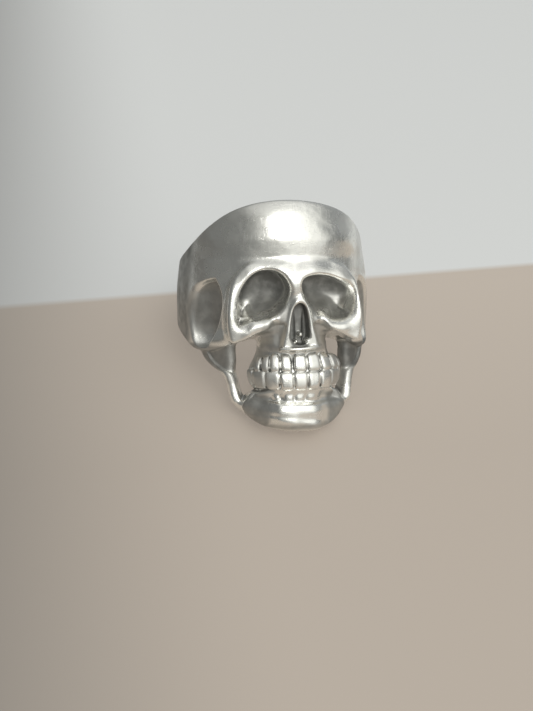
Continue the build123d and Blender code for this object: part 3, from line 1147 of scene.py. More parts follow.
@dataclass
class TeethRow:
    """One row of teeth, set along the dental arch by a node tree."""

    name: str
    grows: float                # 1 where the teeth stand up from the bite, -1 where they hang down
    height: float               # of a whole tooth, with its root
    widths: Rows                # a tooth's share of the pitch and of the height, from the middle out
    pitch: float = 1.5
    deep: float = 1.75          # a tooth's size from its face inwards
    gap: float = 0.05           # between two teeth
    bite: float = -8.0          # height where the two rows meet
    arch_half: float = 5.5      # half width of the dental arch
    arch_run: float = 5.3       # its length from front to back
    arch_middle: float = 9.3    # bore axis to the arch's back
    blunt: float = 4.5          # how square a tooth is: 2 is a ball, 10 a block
    taper: float = 0.16         # how much narrower a tooth is at its root
    belly: float = 0.06         # how far its face bulges
    fillet: float = 0.07        # where it meets the gum
    lean: tuple[float, float] = (16.0, 30.0)    # degrees that the middle and last teeth's roots lean in
    uneven: float = 0.0                         # how much wider the teeth on the skull's left are
    shift: float = 0.0                          # how far the row stands to the skull's left
    jitter: float = 2.5                         # degrees that a tooth may stand askew
    seed: int = 3

    def tooth(self) -> bpy.types.Object:
        """One tooth: a rounded block, narrower at its root, with its face at the front.

        Returns:
            An object of unit width, depth and height, standing on its origin.
        """
        levels = 4
        block = bmesh.new()
        bmesh.ops.create_cube(block, size=2.0)
        bmesh.ops.subdivide_edges(block, edges=block.edges[:], cuts=2**levels - 1, use_grid_fill=True)
        for vert in block.verts:
            spread = sum(abs(part) ** self.blunt for part in vert.co) ** (1 / self.blunt)
            x, y, z = vert.co / spread
            tall = (z + 1) / 2
            narrow = 1.0 - self.taper * tall**1.5
            belly = self.belly * math.sin(math.pi * min(tall * 1.15, 1.0))
            vert.co = (x / 2 * narrow, y / 2 + 0.5 - belly * (y < 0), tall)
        mesh = bpy.data.meshes.new(f"{self.name}_tooth")
        block.to_mesh(mesh)
        block.free()
        return put(mesh.name, mesh)

    def spots(self) -> bpy.types.Object:
        """The teeth's places along the arch, with their turns and sizes as attributes.

        Returns:
            An object with one vertex a tooth.
        """
        sweep = np.linspace(-math.pi / 2, math.pi / 2, 721)
        arch = np.stack([self.arch_half * np.sin(sweep), -self.arch_middle - self.arch_run * np.cos(sweep)])
        run = np.concatenate([[0], np.cumsum(np.hypot(*np.diff(arch, axis=1)))])
        run -= run[len(run) // 2]
        places, turns, sizes = [], [], []
        reach = self.arch_half * 1.2
        for way in (-1, 1):
            start = 0.0
            for number, (wide, tall) in enumerate(self.widths):
                width = wide * self.pitch * (1 + self.uneven * way * min(number, 1))
                middle = 0.0 if number == 0 else start + width / 2
                start = width / 2 if number == 0 else start + width
                if number == 0 and way == 1:
                    continue
                angle = np.interp(way * middle, run, sweep)
                share = min(middle / reach, 1.0)
                lean = self.lean[0] + (self.lean[1] - self.lean[0]) * share**2
                across, along = [np.interp(way * middle, run, line) for line in arch]
                places.append((across + self.shift, along, self.bite))
                heading = math.atan2(self.arch_run * math.sin(angle), self.arch_half * math.cos(angle))
                tip = Matrix.Rotation(math.radians(-self.grows * lean), 3, "X")
                turns.append((Matrix.Rotation(heading, 3, "Z") @ tip).to_euler())
                sizes.append((width - self.gap, self.deep, self.grows * tall * self.height))
        mesh = bpy.data.meshes.new(f"{self.name}_spots")
        mesh.from_pydata(places, [], [])
        for label, rows in (("turn", turns), ("size", sizes)):
            layer = mesh.attributes.new(label, "FLOAT_VECTOR", "POINT")
            layer.data.foreach_set("vector", np.array(rows, np.float32).ravel())
        return put(mesh.name, mesh)

    def tree(self, tooth: bpy.types.Object, metal: bpy.types.Material) -> bpy.types.NodeTree:
        """A node tree that sets a tooth on every spot, each a little askew.

        Args:
            tooth: The tooth to set.
            metal: The material of the teeth.

        Returns:
            The tree, with the named inputs Askew and Seed.
        """
        tree = bpy.data.node_groups.new(f"{self.name}_setting", "GeometryNodeTree")
        socket = tree.interface.new_socket
        socket("Geometry", in_out="INPUT", socket_type="NodeSocketGeometry")
        askew = socket("Askew", in_out="INPUT", socket_type="NodeSocketFloat")
        seed = socket("Seed", in_out="INPUT", socket_type="NodeSocketInt")
        socket("Geometry", in_out="OUTPUT", socket_type="NodeSocketGeometry")
        askew.default_value, seed.default_value = math.radians(self.jitter), self.seed
        nodes = Nodes(tree)
        given = nodes.add("NodeGroupInput").outputs
        vectors = {"data_type": "FLOAT_VECTOR"}
        kind = "GeometryNodeInputNamedAttribute"
        labels = [nodes.add(kind, {"Name": label}, **vectors) for label in ("turn", "size")]
        turn, size = [label.outputs["Attribute"] for label in labels]
        back = nodes.math("MULTIPLY", given["Askew"], -1.0)
        limits = {"Min": back, "Max": given["Askew"], "Seed": given["Seed"]}
        chance = nodes.add("FunctionNodeRandomValue", limits, **vectors).outputs["Value"]
        turned = nodes.add("ShaderNodeVectorMath", {0: turn, 1: chance}, operation="ADD").outputs["Vector"]
        shape = nodes.add("GeometryNodeObjectInfo", {"Object": tooth}).outputs["Geometry"]
        spots = {"Points": given["Geometry"], "Instance": shape, "Rotation": turned, "Scale": size}
        teeth = nodes.add("GeometryNodeInstanceOnPoints", spots).outputs["Instances"]
        real = nodes.add("GeometryNodeRealizeInstances", {"Geometry": teeth}).outputs["Geometry"]
        paint = nodes.add("GeometryNodeSetMaterial", {"Geometry": real, "Material": metal})
        nodes.add("NodeGroupOutput", {"Geometry": paint.outputs["Geometry"]})
        return tree

    def set_teeth(self, metal: bpy.types.Material) -> bpy.types.Mesh:
        """Runs the tree and takes its result as a plain mesh, in millimetres.

        Args:
            metal: The material of the teeth.

        Returns:
            The row's mesh.
        """
        holder, tooth = self.spots(), self.tooth()
        tree = self.tree(tooth, metal)
        setting = holder.modifiers.new("setting", "NODES")
        setting.node_group = tree
        named = {item.name: item.identifier for item in tree.interface.items_tree if item.in_out == "INPUT"}
        setting[named["Askew"]] = math.radians(self.jitter)
        setting[named["Seed"]] = self.seed
        graph = bpy.context.evaluated_depsgraph_get()
        row = bpy.data.meshes.new_from_object(holder.evaluated_get(graph))
        holder.modifiers.remove(setting)
        for used in (holder, tooth):
            bpy.data.objects.remove(used)
        return row

    def shape(self, clay: Clay, metal: bpy.types.Material) -> None:
        """Melts the row into the clay."""
        clay.add_mesh(self.set_teeth(metal), self.fillet)


@dataclass
class LowerJaw:
    """The horseshoe of the lower jaw, with the roots' bumps over the chin."""

    reach: float = 14.4         # bore axis to the front of the chin
    # Half of the jaw in plan. Columns: distance from the midline, place along Y.
    plan: Rows = (
        (7.4, -5.0), (7.45, -7.2), (6.5, -9.95), (4.65, -12.25), (3.6, -13.25), (2.7, -14.0), (1.4, -14.35),
    )
    # Half of the jaw from the front. Columns: distance from the midline, height.
    half: Rows = (
        (2.2, -9.4), (3.4, -10.1), (4.8, -10.7), (5.6, -11.2), (6.1, -11.8), (6.9, -12.2),
        (7.15, -12.7), (6.2, -13.4), (5.3, -14.1), (4.2, -14.7), (2.8, -15.1),
    )
    # The chin from the side. Columns: height, bore axis to the front.
    profile: Rows = (
        (-9.4, 13.7), (-10.0, 13.7), (-10.3, 13.62), (-10.7, 13.42), (-10.95, 13.30), (-11.4, 13.27),
        (-11.65, 13.42), (-11.9, 13.90), (-12.2, 14.06), (-12.65, 14.20), (-12.9, 14.21), (-13.3, 14.17),
        (-13.55, 14.155), (-13.8, 14.19), (-14.05, 14.19), (-14.5, 14.02), (-15.0, 13.65), (-15.3, 13.2),
    )
    # The roots' bumps over the chin. Columns: place along X, half width.
    roots: Rows = ((-2.9, 0.34), (-1.5, 0.55), (-0.2, 0.55), (1.25, 0.72))
    turn: float = 0.06          # how much the chin is turned to the skull's right
    root_rise: float = 0.28     # how far the bumps stand out
    droop: float = 0.20         # how far the chin falls back on the skull's left, lower down
    side_fall: float = 0.22     # how fast it rounds off to the skull's left
    dent: float = 0.035         # depth of the mould's faint unevenness on the chin
    side_dent: float = 0.4      # depth of the hollows beside the chin

    def __post_init__(self) -> None:
        """Charts the plan and the front outline, each mirrored about the midline."""
        self.plan_chart = Outline(self.plan + ((0.0, -self.reach),) + mirrored(self.plan))
        top, foot = ((0.0, -9.3),), ((0.0, -15.3),)
        self.front_chart = Outline(top + self.half + foot + mirrored(self.half))

    def form(self, at: Place) -> Grid:
        """Distances from the jaw, with the bore still filled.

        Args:
            at: Places along X, Y and Z.

        Returns:
            One distance a place, below zero inside.
        """
        x, y, z = at
        fall = 0.05 + 0.1 * fade(-z, 12.9, 13.5)
        short = (self.reach - Curve(self.profile)(z + fall * x)) * (1 - 0.75 * fade(np.abs(x), 2.3, 5.2))
        short = short + self.turn * x * hump(x, 0.0, 3.5)
        short = short + self.droop * fade(x, -1.2, 0.2) * fade(-z, 12.0, 13.9)
        short = short + self.side_fall * np.maximum(x - 1.2, 0) ** 2 * hump(x, 1.2, 2.4)
        sides = self.plan_chart(x + 0 * z, y + 0 * z) + short
        flat = meet(sides, self.front_chart(x, z) + 0 * y, 0.7)
        return meet(flat, y + 7.2, 0.3)

    def root(self, at: Place) -> Grid:
        """How far the roots' bumps raise the front.

        Args:
            at: Places along X, Y and Z.

        Returns:
            One depth a place, in millimetres, below zero where the surface rises.
        """
        x, y, z = at
        wave = 0.0
        for middle, half in self.roots:
            wave = wave + np.exp(-(((x - middle) / half) ** 4))
        return -self.root_rise * wave * hump(z, -11.15, 0.45) + 0 * y

    def dents(self, at: Place) -> Grid:
        """How deep the mould's faint unevenness on the chin is.

        Args:
            at: Places along X, Y and Z.

        Returns:
            One depth a place, in millimetres, below zero where the surface rises.
        """
        x, y, z = at
        depth = self.dent * lumps((x, 0 * y, z), 1.5, 11)
        return depth * hump(x, 0.0, 4.0) * hump(z, -12.9, 0.9) + 0 * y

    def panel(self, at: Place) -> Grid:
        """How deep the shallow hollows beside the chin are."""
        x, y, z = at
        return self.side_dent * hump(np.abs(x), 4.5, 1.0) * hump(z, -11.6, 0.7) + 0 * y

    def shape(self, clay: Clay) -> None:
        """Adds the jaw and works its front.

        Args:
            clay: The clay to work.
        """
        clay.add(self.form, (-8.6, -15.6, -16), (8.6, -5, -8.4), 0.35)
        clay.press(self.panel, (-7.2, -14.6, -13.6), (6.6, -10.5, -10.0))
        clay.press(self.dents, (-7.2, -14.9, -14.6), (7.2, -10.5, -11.2))
        clay.press(self.root, (-4.0, -14.6, -12.6), (4.5, -12, -10.4))


@dataclass
class Straps:
    """The straps that carry the jaw from the cheekbones, stepped at their front."""

    bore: float = BORE
    # Columns: height, degrees round the bore, width, wall outside the bore.
    sections: Rows = (
        (-4.2, 53.0, 5.3, 1.6), (-6.4, 52.3, 5.0, 1.6), (-7.5, 49.8, 4.1, 1.6), (-8.15, 47.3, 3.0, 1.6),
        (-8.7, 44.3, 1.9, 1.65), (-9.5, 41.8, 1.45, 1.7), (-10.7, 40.2, 1.45, 1.7), (-11.9, 38.1, 1.5, 1.8),
        (-12.9, 36.5, 1.5, 1.7),
    )
    step_in: float = 0.25       # how far the front part stands back from the flange behind it
    flange: float = 1.6         # the flange's width
    middle: float = 0.9         # the bore to where the straps' widths are measured
    upright: float = 0.9        # cosine of their usual slant

    def form(self, at: Place) -> Grid:
        """Distances from both straps.

        Args:
            at: Places along X, Y and Z.

        Returns:
            One distance a place, below zero inside.
        """
        x, y, z = at
        angle, wide, wall = [curve(z) for curve in curves(self.sections)]
        spread = np.hypot(x, y)
        along = (np.arctan2(np.abs(x), -y) - np.radians(angle)) * (self.bore + self.middle)
        sides = (np.abs(along) - wide / 2) * self.upright
        front = fade(wide / 2 - self.flange - along, -0.1, 0.1)
        outer = spread - self.bore - wall + self.step_in * front
        ends = np.maximum(z + 4.2, -12.6 - z)
        return meet(meet(sides, outer, 0.9), ends + 0 * sides, 0.6)

    def shape(self, clay: Clay) -> None:
        """Adds both straps."""
        for ends in ((-12.8, -3.5), (3.5, 12.8)):
            clay.add(self.form, (ends[0], -12.8, -14), (ends[1], -2, -3), 0.4)


@dataclass(frozen=True)
class CastSilver:
    """Polished sterling silver, darkened by its patina in the hollows and by painted shade and painted dark
    reflection.
    """

    bright: Point = (0.925, 0.922, 0.885)
    # colour of the patina, and also of the painted shade and painted dark reflection
    dark: Point = (0.235, 0.235, 0.226)
    polish: float = 0.24        # roughness of the open metal
    dull: float = 0.62          # roughness where the metal is darkened, patina and painted shade alike
    patches: float = 900.0      # waves a metre in the darkening
    smears: float = 420.0       # the same in the polish
    waves: float = 650.0        # the same in the casting's soft waviness
    grain: float = 6500.0       # the same in its fine grain
    lines: float = 900.0        # the same between the scratches
    # The fine scratches, in three directions. Columns: turn of the pattern, how it is squeezed.
    scratches: tuple[tuple[Point, Point], ...] = (
        ((0.3, 0.2, 0.5), (1, 14, 1)), ((0.9, 0.4, -0.7), (16, 1, 1)), ((0.1, 1.2, 0.2), (1, 1, 15)),
    )

    def dress(self) -> bpy.types.Material:
        """Builds the material.

        Returns:
            The finished material.
        """
        material, nodes, shader = start_material("cast_silver")
        place = nodes.add("ShaderNodeTexCoord").outputs["Object"]
        # The hollow attribute holds patina together with painted shade and painted dark reflection.
        hollow = nodes.add("ShaderNodeAttribute", attribute_name="hollow").outputs["Fac"]
        patchy = nodes.remap(nodes.noise(place, self.patches, 4), 0.3, 0.7, 0.88, 1.1)
        patina_and_shade = nodes.math("MULTIPLY", nodes.remap(hollow, 0.15, 0.85), patchy)
        patina_and_shade = nodes.math("MINIMUM", patina_and_shade, 1.0)
        smears = nodes.remap(nodes.noise(place, self.smears, 3), 0.35, 0.7, -0.05, 0.10)
        rough = nodes.math("ADD", nodes.remap(patina_and_shade, 0.0, 1.0, self.polish, self.dull), smears)
        lines = 0.0
        for turn, squeeze in self.scratches:
            line = nodes.remap(nodes.noise(place, self.lines, 2, squeeze, turn), 0.60, 0.72)
            lines = nodes.math("ADD", lines, line)
        grain = nodes.math("MULTIPLY", nodes.noise(place, self.grain, 3), 0.35)
        marks = nodes.math("ADD", lines, grain)
        waves = {"Strength": 0.6, "Distance": 0.0001, "Height": nodes.noise(place, self.waves, 1.5)}
        normal = nodes.add("ShaderNodeBump", waves).outputs["Normal"]
        fine = {"Strength": 0.2, "Distance": 0.00003, "Height": marks, "Normal": normal}
        normal = nodes.add("ShaderNodeBump", fine).outputs["Normal"]
        colour = nodes.mix(patina_and_shade, (*self.bright, 1), (*self.dark, 1))
        nodes.fill(shader, {"Metallic": 1.0, "Base Color": colour, "Roughness": rough, "Normal": normal})
        return material


@dataclass(frozen=True)
class PatinaAndShade:
    """How dark each part is painted, from 0 to 1: patina in the hollows, painted shade and painted dark
    reflection elsewhere.
    """

    socket: float = 0.78        # an eye socket under its brow: patina, with painted shade under the brow
    # nostril: patina with painted shade deep in the nose's opening
    nostril: float = 1.0
    bead: float = 0.9           # how much of the patina and painted shade is taken off the beads in the nose
    # cheek: patina with painted shade in the hollows beside the nose
    cheek: float = 0.52
    temple: float = 0.62
    band: float = 0.62          # behind the temples: painted dark reflection on the open band
    flank: float = 0.4          # the crown's side, on the skull's left: painted dark reflection
    # strap: patina with painted shade under the cheekbones
    strap: float = 0.6
    strap_left: float = 0.18    # how much darker the strap on the skull's left is painted, as painted shade
    molars: float = 0.5         # the back teeth: painted shade where they turn away from the light
    jaw: float = 0.6            # the jaw's sides: painted dark reflection
    chin: float = 0.55          # under the chin: painted shade where it meets the floor


@dataclass(frozen=True)
class PaleStone:
    """The plain pale surface that the ring lies on, with a paler wall tone behind it and painted shade
    towards -X.
    """

    near: Point = (0.328, 0.286, 0.246)
    middle: Point = (0.358, 0.314, 0.271)
    far: Point = (0.456, 0.464, 0.46)
    # colour of the painted shade that darkens the floor towards -X
    painted_floor_shade: Point = (0.085, 0.082, 0.078)
    painted_floor_shade_start: float = -0.004  # where the painted shade begins, darkening towards -X
    painted_floor_shade_end: float = -0.065    # where the painted shade is darkest
    glow: float = 0.60          # how much of its own light it gives, so that shadows stay faint
    edge: float = 0.0170        # where the paler tone begins, along Y
    blur: float = 0.0006        # how softly it begins, on each side of that
    slant: float = 0.10         # how much further back it begins for each metre along X

    def dress(self) -> bpy.types.Material:
        """Builds the material.

        Returns:
            The finished material.
        """
        material, nodes, shader = start_material("pale_stone")
        place = nodes.add("ShaderNodeTexCoord").outputs["Object"]
        split = nodes.add("ShaderNodeSeparateXYZ", {"Vector": place}).outputs
        back = nodes.math("MULTIPLY_ADD", split["X"], -self.slant, split["Y"])
        behind = nodes.remap(back, self.edge - self.blur, self.edge + self.blur, kind="LINEAR")
        away = nodes.remap(split["Y"], -self.edge, self.edge, kind="LINEAR")
        tone = nodes.mix(away, (*self.near, 1), (*self.middle, 1))
        tone = nodes.mix(behind, tone, (*self.far, 1))
        # Painted shade: the floor darkens towards -X.
        shade = nodes.remap(split["X"], self.painted_floor_shade_start, self.painted_floor_shade_end)
        tone = nodes.mix(shade, tone, (*self.painted_floor_shade, 1))
        glow = {"Emission Color": tone, "Emission Strength": self.glow}
        nodes.fill(shader, {"Roughness": 0.7, "Base Color": tone, **glow})
        return material


@dataclass
class SkullRing:
    """The whole casting, from the clay to the dressed mesh."""

    lie: Lie
    jaw_lean: float = 0.04      # how far the jaws stand to the skull's left a millimetre below the eyes
    finish: CastSilver = field(default_factory=CastSilver)
    patina_and_shade: PatinaAndShade = field(default_factory=PatinaAndShade)
    crown: Crown = field(default_factory=Crown)
    mask: Mask = field(default_factory=Mask)
    temples: Temples = field(default_factory=Temples)
    cheek_bars: CheekBars = field(default_factory=CheekBars)
    nose: Nose = field(default_factory=Nose)
    upper_jaw: UpperJaw = field(default_factory=UpperJaw)
    lower_jaw: LowerJaw = field(default_factory=LowerJaw)
    straps: Straps = field(default_factory=Straps)
    upper_teeth: TeethRow = field(
        default_factory=lambda: TeethRow(
            "upper_teeth", 1, 2.35, ((1.22, 1.0), (1.14, 1.0), (1.04, 0.95), (0.9, 0.85), (0.8, 0.8)),
            arch_half=6.2, arch_run=4.6, gap=0.2, blunt=4.4, uneven=0.14, shift=-0.10, seed=4
        )
    )
    lower_teeth: TeethRow = field(
        default_factory=lambda: TeethRow(
            "lower_teeth", -1, 2.15, ((1.14, 1.0), (1.1, 1.0), (1.22, 1.0), (1.2, 1.0), (0.8, 0.95)),
            arch_half=5.9, arch_run=4.7, gap=0.06, blunt=5.5, shift=-0.12, lean=(-2.5, 10.0), seed=9
        )
    )

    def sculpt(self, metal: bpy.types.Material) -> Clay:
        """Works the whole form in clay.

        Args:
            metal: The material that the teeth are set with.

        Returns:
            The worked clay.
        """
        clay = Clay((-12.9, -15.9, -15.9), (12.9, 12.3, 12.4), FINE_STEP)
        for part in (self.crown, self.mask, self.cheek_bars):
            part.shape(clay)
        clay.lean = self.jaw_lean
        for part in (self.straps, self.upper_jaw):
            part.shape(clay)
        clay.lean = 0.0
        self.nose.shape(clay)
        self.mask.carve(clay)
        self.temples.shape(clay)
        self.nose.carve(clay)
        clay.lean = self.jaw_lean
        self.upper_jaw.ledge(clay)
        self.lower_jaw.shape(clay)
        self.upper_teeth.shape(clay, metal)
        self.lower_teeth.shape(clay, metal)
        clay.lean = 0.0
        self.crown.bore_out(clay)
        return clay

    def thin(self, piece: bpy.types.Object) -> None:
        """Thins a mesh to the most triangles that a piece may have.

        Args:
            piece: The object whose mesh is thinned.
        """
        count = sum(len(face.vertices) - 2 for face in piece.data.polygons)
        if count <= MOST_TRIANGLES:
            return
        fewer = piece.modifiers.new("fewer", "DECIMATE")
        fewer.ratio = MOST_TRIANGLES / count
        graph = bpy.context.evaluated_depsgraph_get()
        mesh = bpy.data.meshes.new_from_object(piece.evaluated_get(graph))
        piece.modifiers.remove(fewer)
        piece.data = mesh

    def recesses(self, points: Grid, normals: Grid, surface: tuple[Grid, Grid], clay: Clay) -> Grid:
        """How closely other metal stands over each point, from 0 in the open to about 1, used as patina and
        as painted shade.

        Args:
            points: The mesh's points, in millimetres.
            normals: Its outward directions there.
            surface: The fine surface's points and quads, before it was thinned.
            clay: The clay that it was taken from.

        Returns:
            One value a point.
        """
        room = Clay(clay.low, [axis[-1] for axis in clay.axes], ROOM_STEP)
        fine, quads = surface
        cells = distances_from((fine - room.low) / room.step, room.metal.shape, ROOM_REACH, quads=quads)
        room.metal = cells * room.step
        # Columns: the grid that is read, how far out from the metal, the reading's share.
        readings = ((clay, 0.25, 1.4), (room, 0.5, 1.0), (room, 1.0, 1.0), (room, 2.2, 0.8))
        total, weight = 0.0, 0.0
        for chart, reach, share in readings:
            gap = chart.read(points + normals * reach)
            total = total + share * np.clip(1 - gap / reach, 0, 1.2)
            weight += share
        return total / weight

    def side_patina_and_shade(self, at: Place) -> Grid:
        """How dark the temples, the band behind them, the straps and the crown's flank are painted with
        patina, painted shade and painted dark reflection.

        Args:
            at: Places along X, Y and Z.

        Returns:
            One value a place, from 0 to 1.
        """
        x, y, z = at
        dark, side, spread = self.patina_and_shade, np.abs(x), np.hypot(x, y)
        along = self.temples.along(x, y)
        rim = 0.5 * fade(-along, -0.5, 1.0) * fade(-z, 0.0, 1.5)
        temple = fade(rim - self.temples.chart(along, z), -0.1, 0.15) * fade(-spread, -12.1, -11.8)
        temple = temple * (1 - 0.45 * fade(-z, 2.6, 4.8)) * (y < -1)
        # Painted dark reflection on the band behind the temples.
        band = fade(np.degrees(np.arctan2(side, -y)), 56, 72) * (spread > 10.4)
        # Patina with painted shade on the straps under the cheekbones, deeper on the skull's left.
        strap = fade(-z, 4.8, 5.6) * fade(-z, 9.2, 8.2) * (side > 5.8) * (y > -11.5)
        strap = np.maximum(strap, 0.6 * fade(-z, 8.0, 8.8) * fade(z, -11.2, -10.6) * (x > 5.2))
        strap = (dark.strap + dark.strap_left * (x > 0)) * strap
        # Painted dark reflection on the crown's side, on the skull's left.
        flank = fade(x, 7.2, 9.0) * fade(z, 1.5, 3.0)
        return np.maximum.reduce([dark.temple * temple, dark.band * band, strap, dark.flank * flank])

    def face_patina_and_shade(self, at: Place) -> Grid:
        """How dark the hollows in and round the nose, beside the jaws and under the chin are painted with
        patina, painted shade and painted dark reflection.

        Args:
            at: Places along X, Y and Z.

        Returns:
            One value a place, from 0 to 1.
        """
        x, y, z = at
        dark, side = self.patina_and_shade, np.abs(x)
        # Patina with painted shade in the hollows beside the nose.
        cheek = fade(side, 1.7, 2.2) * fade(-side, -4.8, -4.0) * fade(-z, 1.6, 2.6)
        cheek = cheek * fade(z, -6.5, -5.5) * (y < -10.5)
        beside = fade(-side, -2.7, -2.0) * fade(-z, -0.2, 0.6) * fade(z, -5.3, -4.9) * (y < -11)
        beside = beside * (0.32 + 0.25 * fade(self.nose.frame_chart(x, z), 0.0, 0.25))
        # Painted shade on the back teeth, set back between the straps.
        molars = fade(np.abs(x - 0.4), 2.8, 3.8) * fade(-z, 5.0, 5.6) * fade(z, -10.4, -9.8) * (y < -8.5)
        # Patina with painted shade deep in the nose's opening.
        rim = 0.12 + 0.23 * fade(-z, 2.8, 3.8)
        nostril = fade(rim - self.nose.chart(x, z), -0.1, 0.2) * (y < -11) * (y > -14.1)
        # Painted dark reflection on the jaw's sides.
        jaw = fade(np.abs(x - 0.4), 2.9, 4.0) * fade(-z, 10.2, 11.2) * (y < -10.0)
        # Painted shade under the chin, where it meets the floor.
        chin = hump(z, -14.5, 0.6)
        painted_shade_and_patina = [dark.cheek * cheek, dark.molars * molars, dark.chin * chin, dark.jaw * jaw]
        return np.maximum.reduce([beside, dark.nostril * nostril, *painted_shade_and_patina])

    def socket_patina_and_shade(self, at: Place) -> Grid:
        """How dark the eye sockets are painted: patina, with painted shade that deepens under the brow.

        Args:
            at: Places along X, Y and Z.

        Returns:
            One value a place, from 0 to 1.
        """
        x, y, z = at
        # Patina in the sockets, with painted shade that deepens under the brow.
        high = fade(z, -1.2, 1.6)
        shades = []
        for socket in self.mask.sockets:
            bowl = fade(-socket.chart(x, z), 0.2 - 0.35 * high, 0.8 - 0.5 * high)
            bowl = bowl * (1 - 0.8 * fade(-x, 4.6, 5.4) * fade(-z, -0.4, 0.6))
            dark = socket.patina_and_shade + (self.patina_and_shade.socket - socket.patina_and_shade) * high
            shades.append(dark * bowl * (y < -9))
        return np.maximum(*shades)

    def hollows(self, points: Grid, normals: Grid, surface: tuple[Grid, Grid], clay: Clay) -> Grid:
        """How dark each point is painted, from 0 in the open to about 1, with patina, painted shade and
        painted dark reflection.

        Args:
            points: The mesh's points, in millimetres.
            normals: Its outward directions there.
            surface: The fine surface's points and quads, before it was thinned.
            clay: The clay that it was taken from.

        Returns:
            One value a point.
        """
        at = x, y, z = tuple(points.T)
        sunk = np.maximum(np.maximum(self.side_patina_and_shade(at), self.face_patina_and_shade(at)), self.socket_patina_and_shade(at))
        sunk = sunk * (np.hypot(x, y) > self.crown.bore + 0.15)
        beads = [np.hypot(x - a, z - c) - size for a, _, c, size in self.nose.beads]
        # The beads in the nose are mostly spared the patina and the painted shade.
        bead = (np.min(beads, axis=0) < 0.05) * (y < -12.6)
        # Patina and painted shade where other metal closes over a point.
        deep = self.recesses(points, normals, surface, clay)
        return np.maximum(deep, sunk) * (1 - self.patina_and_shade.bead * bead)

    def build(self) -> bpy.types.Object:
        """Makes, lays down and dresses the ring.

        Returns:
            The finished object.
        """
        metal = self.finish.dress()
        clay = self.sculpt(metal)
        surface = clay.surface()
        mesh = bpy.data.meshes.new("skull_ring_casting")
        mesh.from_pydata(surface[0], [], surface[1].tolist())
        piece = put("skull_ring_casting", mesh)
        self.thin(piece)
        mesh = piece.data
        points = points_of(mesh)
        normals = clay.slopes(points)
        # The hollow attribute carries the patina, painted shade and painted dark reflection to the finish.
        layer = mesh.attributes.new("hollow", "FLOAT", "POINT")
        layer.data.foreach_set("value", self.hollows(points, normals, surface, clay))
        turn = np.array(self.lie.matrix)
        laid = points @ turn[:3, :3].T + turn[:3, 3]
        mesh.vertices.foreach_set("co", laid.astype(np.float32).ravel())
        mesh.shade_smooth()
        directions = normals @ (turn[:3, :3].T / MILLIMETRE)
        mesh.normals_split_custom_set_from_vertices(directions.tolist())
        mesh.materials.clear()
        mesh.materials.append(metal)
        log.info("%s: %d points, lowest %.3f mm", piece.name, len(points), laid[:, 2].min() / MILLIMETRE)
        return piece


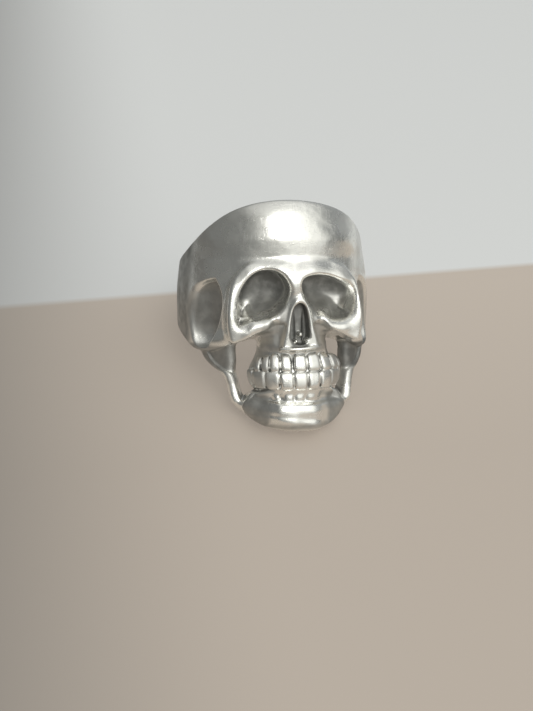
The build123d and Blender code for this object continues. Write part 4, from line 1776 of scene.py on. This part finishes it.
@dataclass
class Studio:
    """The floor, the lights and the camera."""

    lie: Lie
    distance: float = 130.0     # camera to the bore's middle, in millimetres
    focal: float = 1020.5       # the lens, in pixels of the 533 by 711 picture
    azimuth: float = -13.5      # degrees round the bore, from the face
    elevation: float = 5.0      # degrees above the line of the eyes
    middle_px: tuple[float, float] = (271.0, 292.5)     # where the bore's middle shows
    picture: tuple[int, int] = (533, 711)
    key_azimuth: float = -3.0   # degrees round the upright, from the ring's front towards +X
    key_elevation: float = 51.0
    key_size: tuple[float, float] = (0.36, 0.22)    # the lamp's width and height, in metres
    key_reach: float = 0.5      # the ring to the lamp
    key_shine: float = 2.9
    key_tint: Point = (1.0, 0.985, 0.95)
    gloom: Point = (0.178, 0.181, 0.175)
    floor_half: float = 0.6     # half of the floor's side, in metres
    # Where the room glows. Columns: direction, how near to it the glow begins and is full, colour.
    glows: tuple = (
        ((0.0, 0.1, 1.0), 0.60, 0.98, (0.40, 0.40, 0.39)),
        ((0.55, 0.75, 0.35), 0.55, 0.95, (0.14, 0.15, 0.16)),
        ((0.05, -0.66, 0.69), 0.40, 0.95, (0.30, 0.30, 0.28)),
        ((0.42, -0.60, 0.70), 0.60, 0.94, (0.62, 0.62, 0.59)),
    )

    def floor(self) -> bpy.types.Object:
        """Lays the floor.

        Returns:
            The floor's object.
        """
        half = self.floor_half
        corners = [(-half, -half, 0), (half, -half, 0), (half, half, 0), (-half, half, 0)]
        mesh = bpy.data.meshes.new("floor")
        mesh.from_pydata(corners, [], [(0, 1, 2, 3)])
        mesh.materials.append(PaleStone().dress())
        return put("floor", mesh)

    def camera(self) -> None:
        """Sets the camera where the photograph was taken from."""
        back = aim(self.azimuth, self.elevation)
        right = Vector((0, 0, 1)).cross(back).normalized()
        across = (self.middle_px[0] - self.picture[0] / 2) / self.focal
        down = (self.middle_px[1] - self.picture[1] / 2) / self.focal
        look = Matrix((right, back.cross(right), back)).transposed()
        look = look @ Matrix.Rotation(math.atan(down), 3, "X") @ Matrix.Rotation(math.atan(across), 3, "Y")
        data = bpy.data.cameras.new("camera")
        data.lens = self.focal / self.picture[1] * data.sensor_width
        data.clip_start, data.clip_end = 0.01, 5.0
        camera = put("camera", data)
        spot = self.lie.matrix @ (back * self.distance)
        lay = (self.lie.matrix.to_3x3() @ look).normalized()
        camera.matrix_world = Matrix.Translation(spot) @ lay.to_4x4()
        bpy.context.scene.camera = camera

    def key(self) -> None:
        """Hangs the soft oval lamp that faces the ring from above."""
        way = aim(self.key_azimuth, self.key_elevation)
        data = bpy.data.lights.new("key", "AREA")
        data.shape, data.color = "ELLIPSE", self.key_tint
        data.size, data.size_y = self.key_size
        data.energy = self.key_shine * math.pi * math.pi / 4 * self.key_size[0] * self.key_size[1]
        lamp = put("key", data)
        lamp.location = way * self.key_reach
        lamp.rotation_euler = way.to_track_quat("Z", "Y").to_euler()

    def room(self) -> None:
        """Lights the room dimly, brighter overhead and behind the ring than in front of it."""
        world = bpy.data.worlds.new("studio")
        world.use_nodes = True
        nodes = Nodes(world.node_tree)
        way = nodes.add("ShaderNodeTexCoord").outputs["Generated"]
        total = self.gloom
        for toward, low, high, glow in self.glows:
            ways = {0: way, 1: Vector(toward).normalized()}
            near = nodes.add("ShaderNodeVectorMath", ways, operation="DOT_PRODUCT").outputs["Value"]
            inputs = {"Vector": near, 7: (low,) * 3, 8: (high,) * 3, 9: (0, 0, 0), 10: glow}
            settings = {"data_type": "FLOAT_VECTOR", "interpolation_type": "SMOOTHSTEP"}
            part = nodes.add("ShaderNodeMapRange", inputs, **settings).outputs["Vector"]
            total = nodes.add("ShaderNodeVectorMath", {0: total, 1: part}).outputs["Vector"]
        nodes.fill(world.node_tree.nodes["Background"], {"Color": total})
        bpy.context.scene.world = world
        bpy.context.scene.view_settings.view_transform = "Standard"

    def build(self) -> bpy.types.Object:
        """Sets the camera and the lights and lays the floor.

        Returns:
            The floor's object.
        """
        self.camera()
        self.key()
        self.room()
        return self.floor()


def main() -> None:
    logging.basicConfig(level=logging.INFO, format="%(message)s")
    lie = Lie.from_record(frame["record"])
    ring = SkullRing(lie).build()
    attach(ring, "root")
    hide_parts("skull_ring")
    Studio(lie).build()


if __name__ == "__main__":
    main()
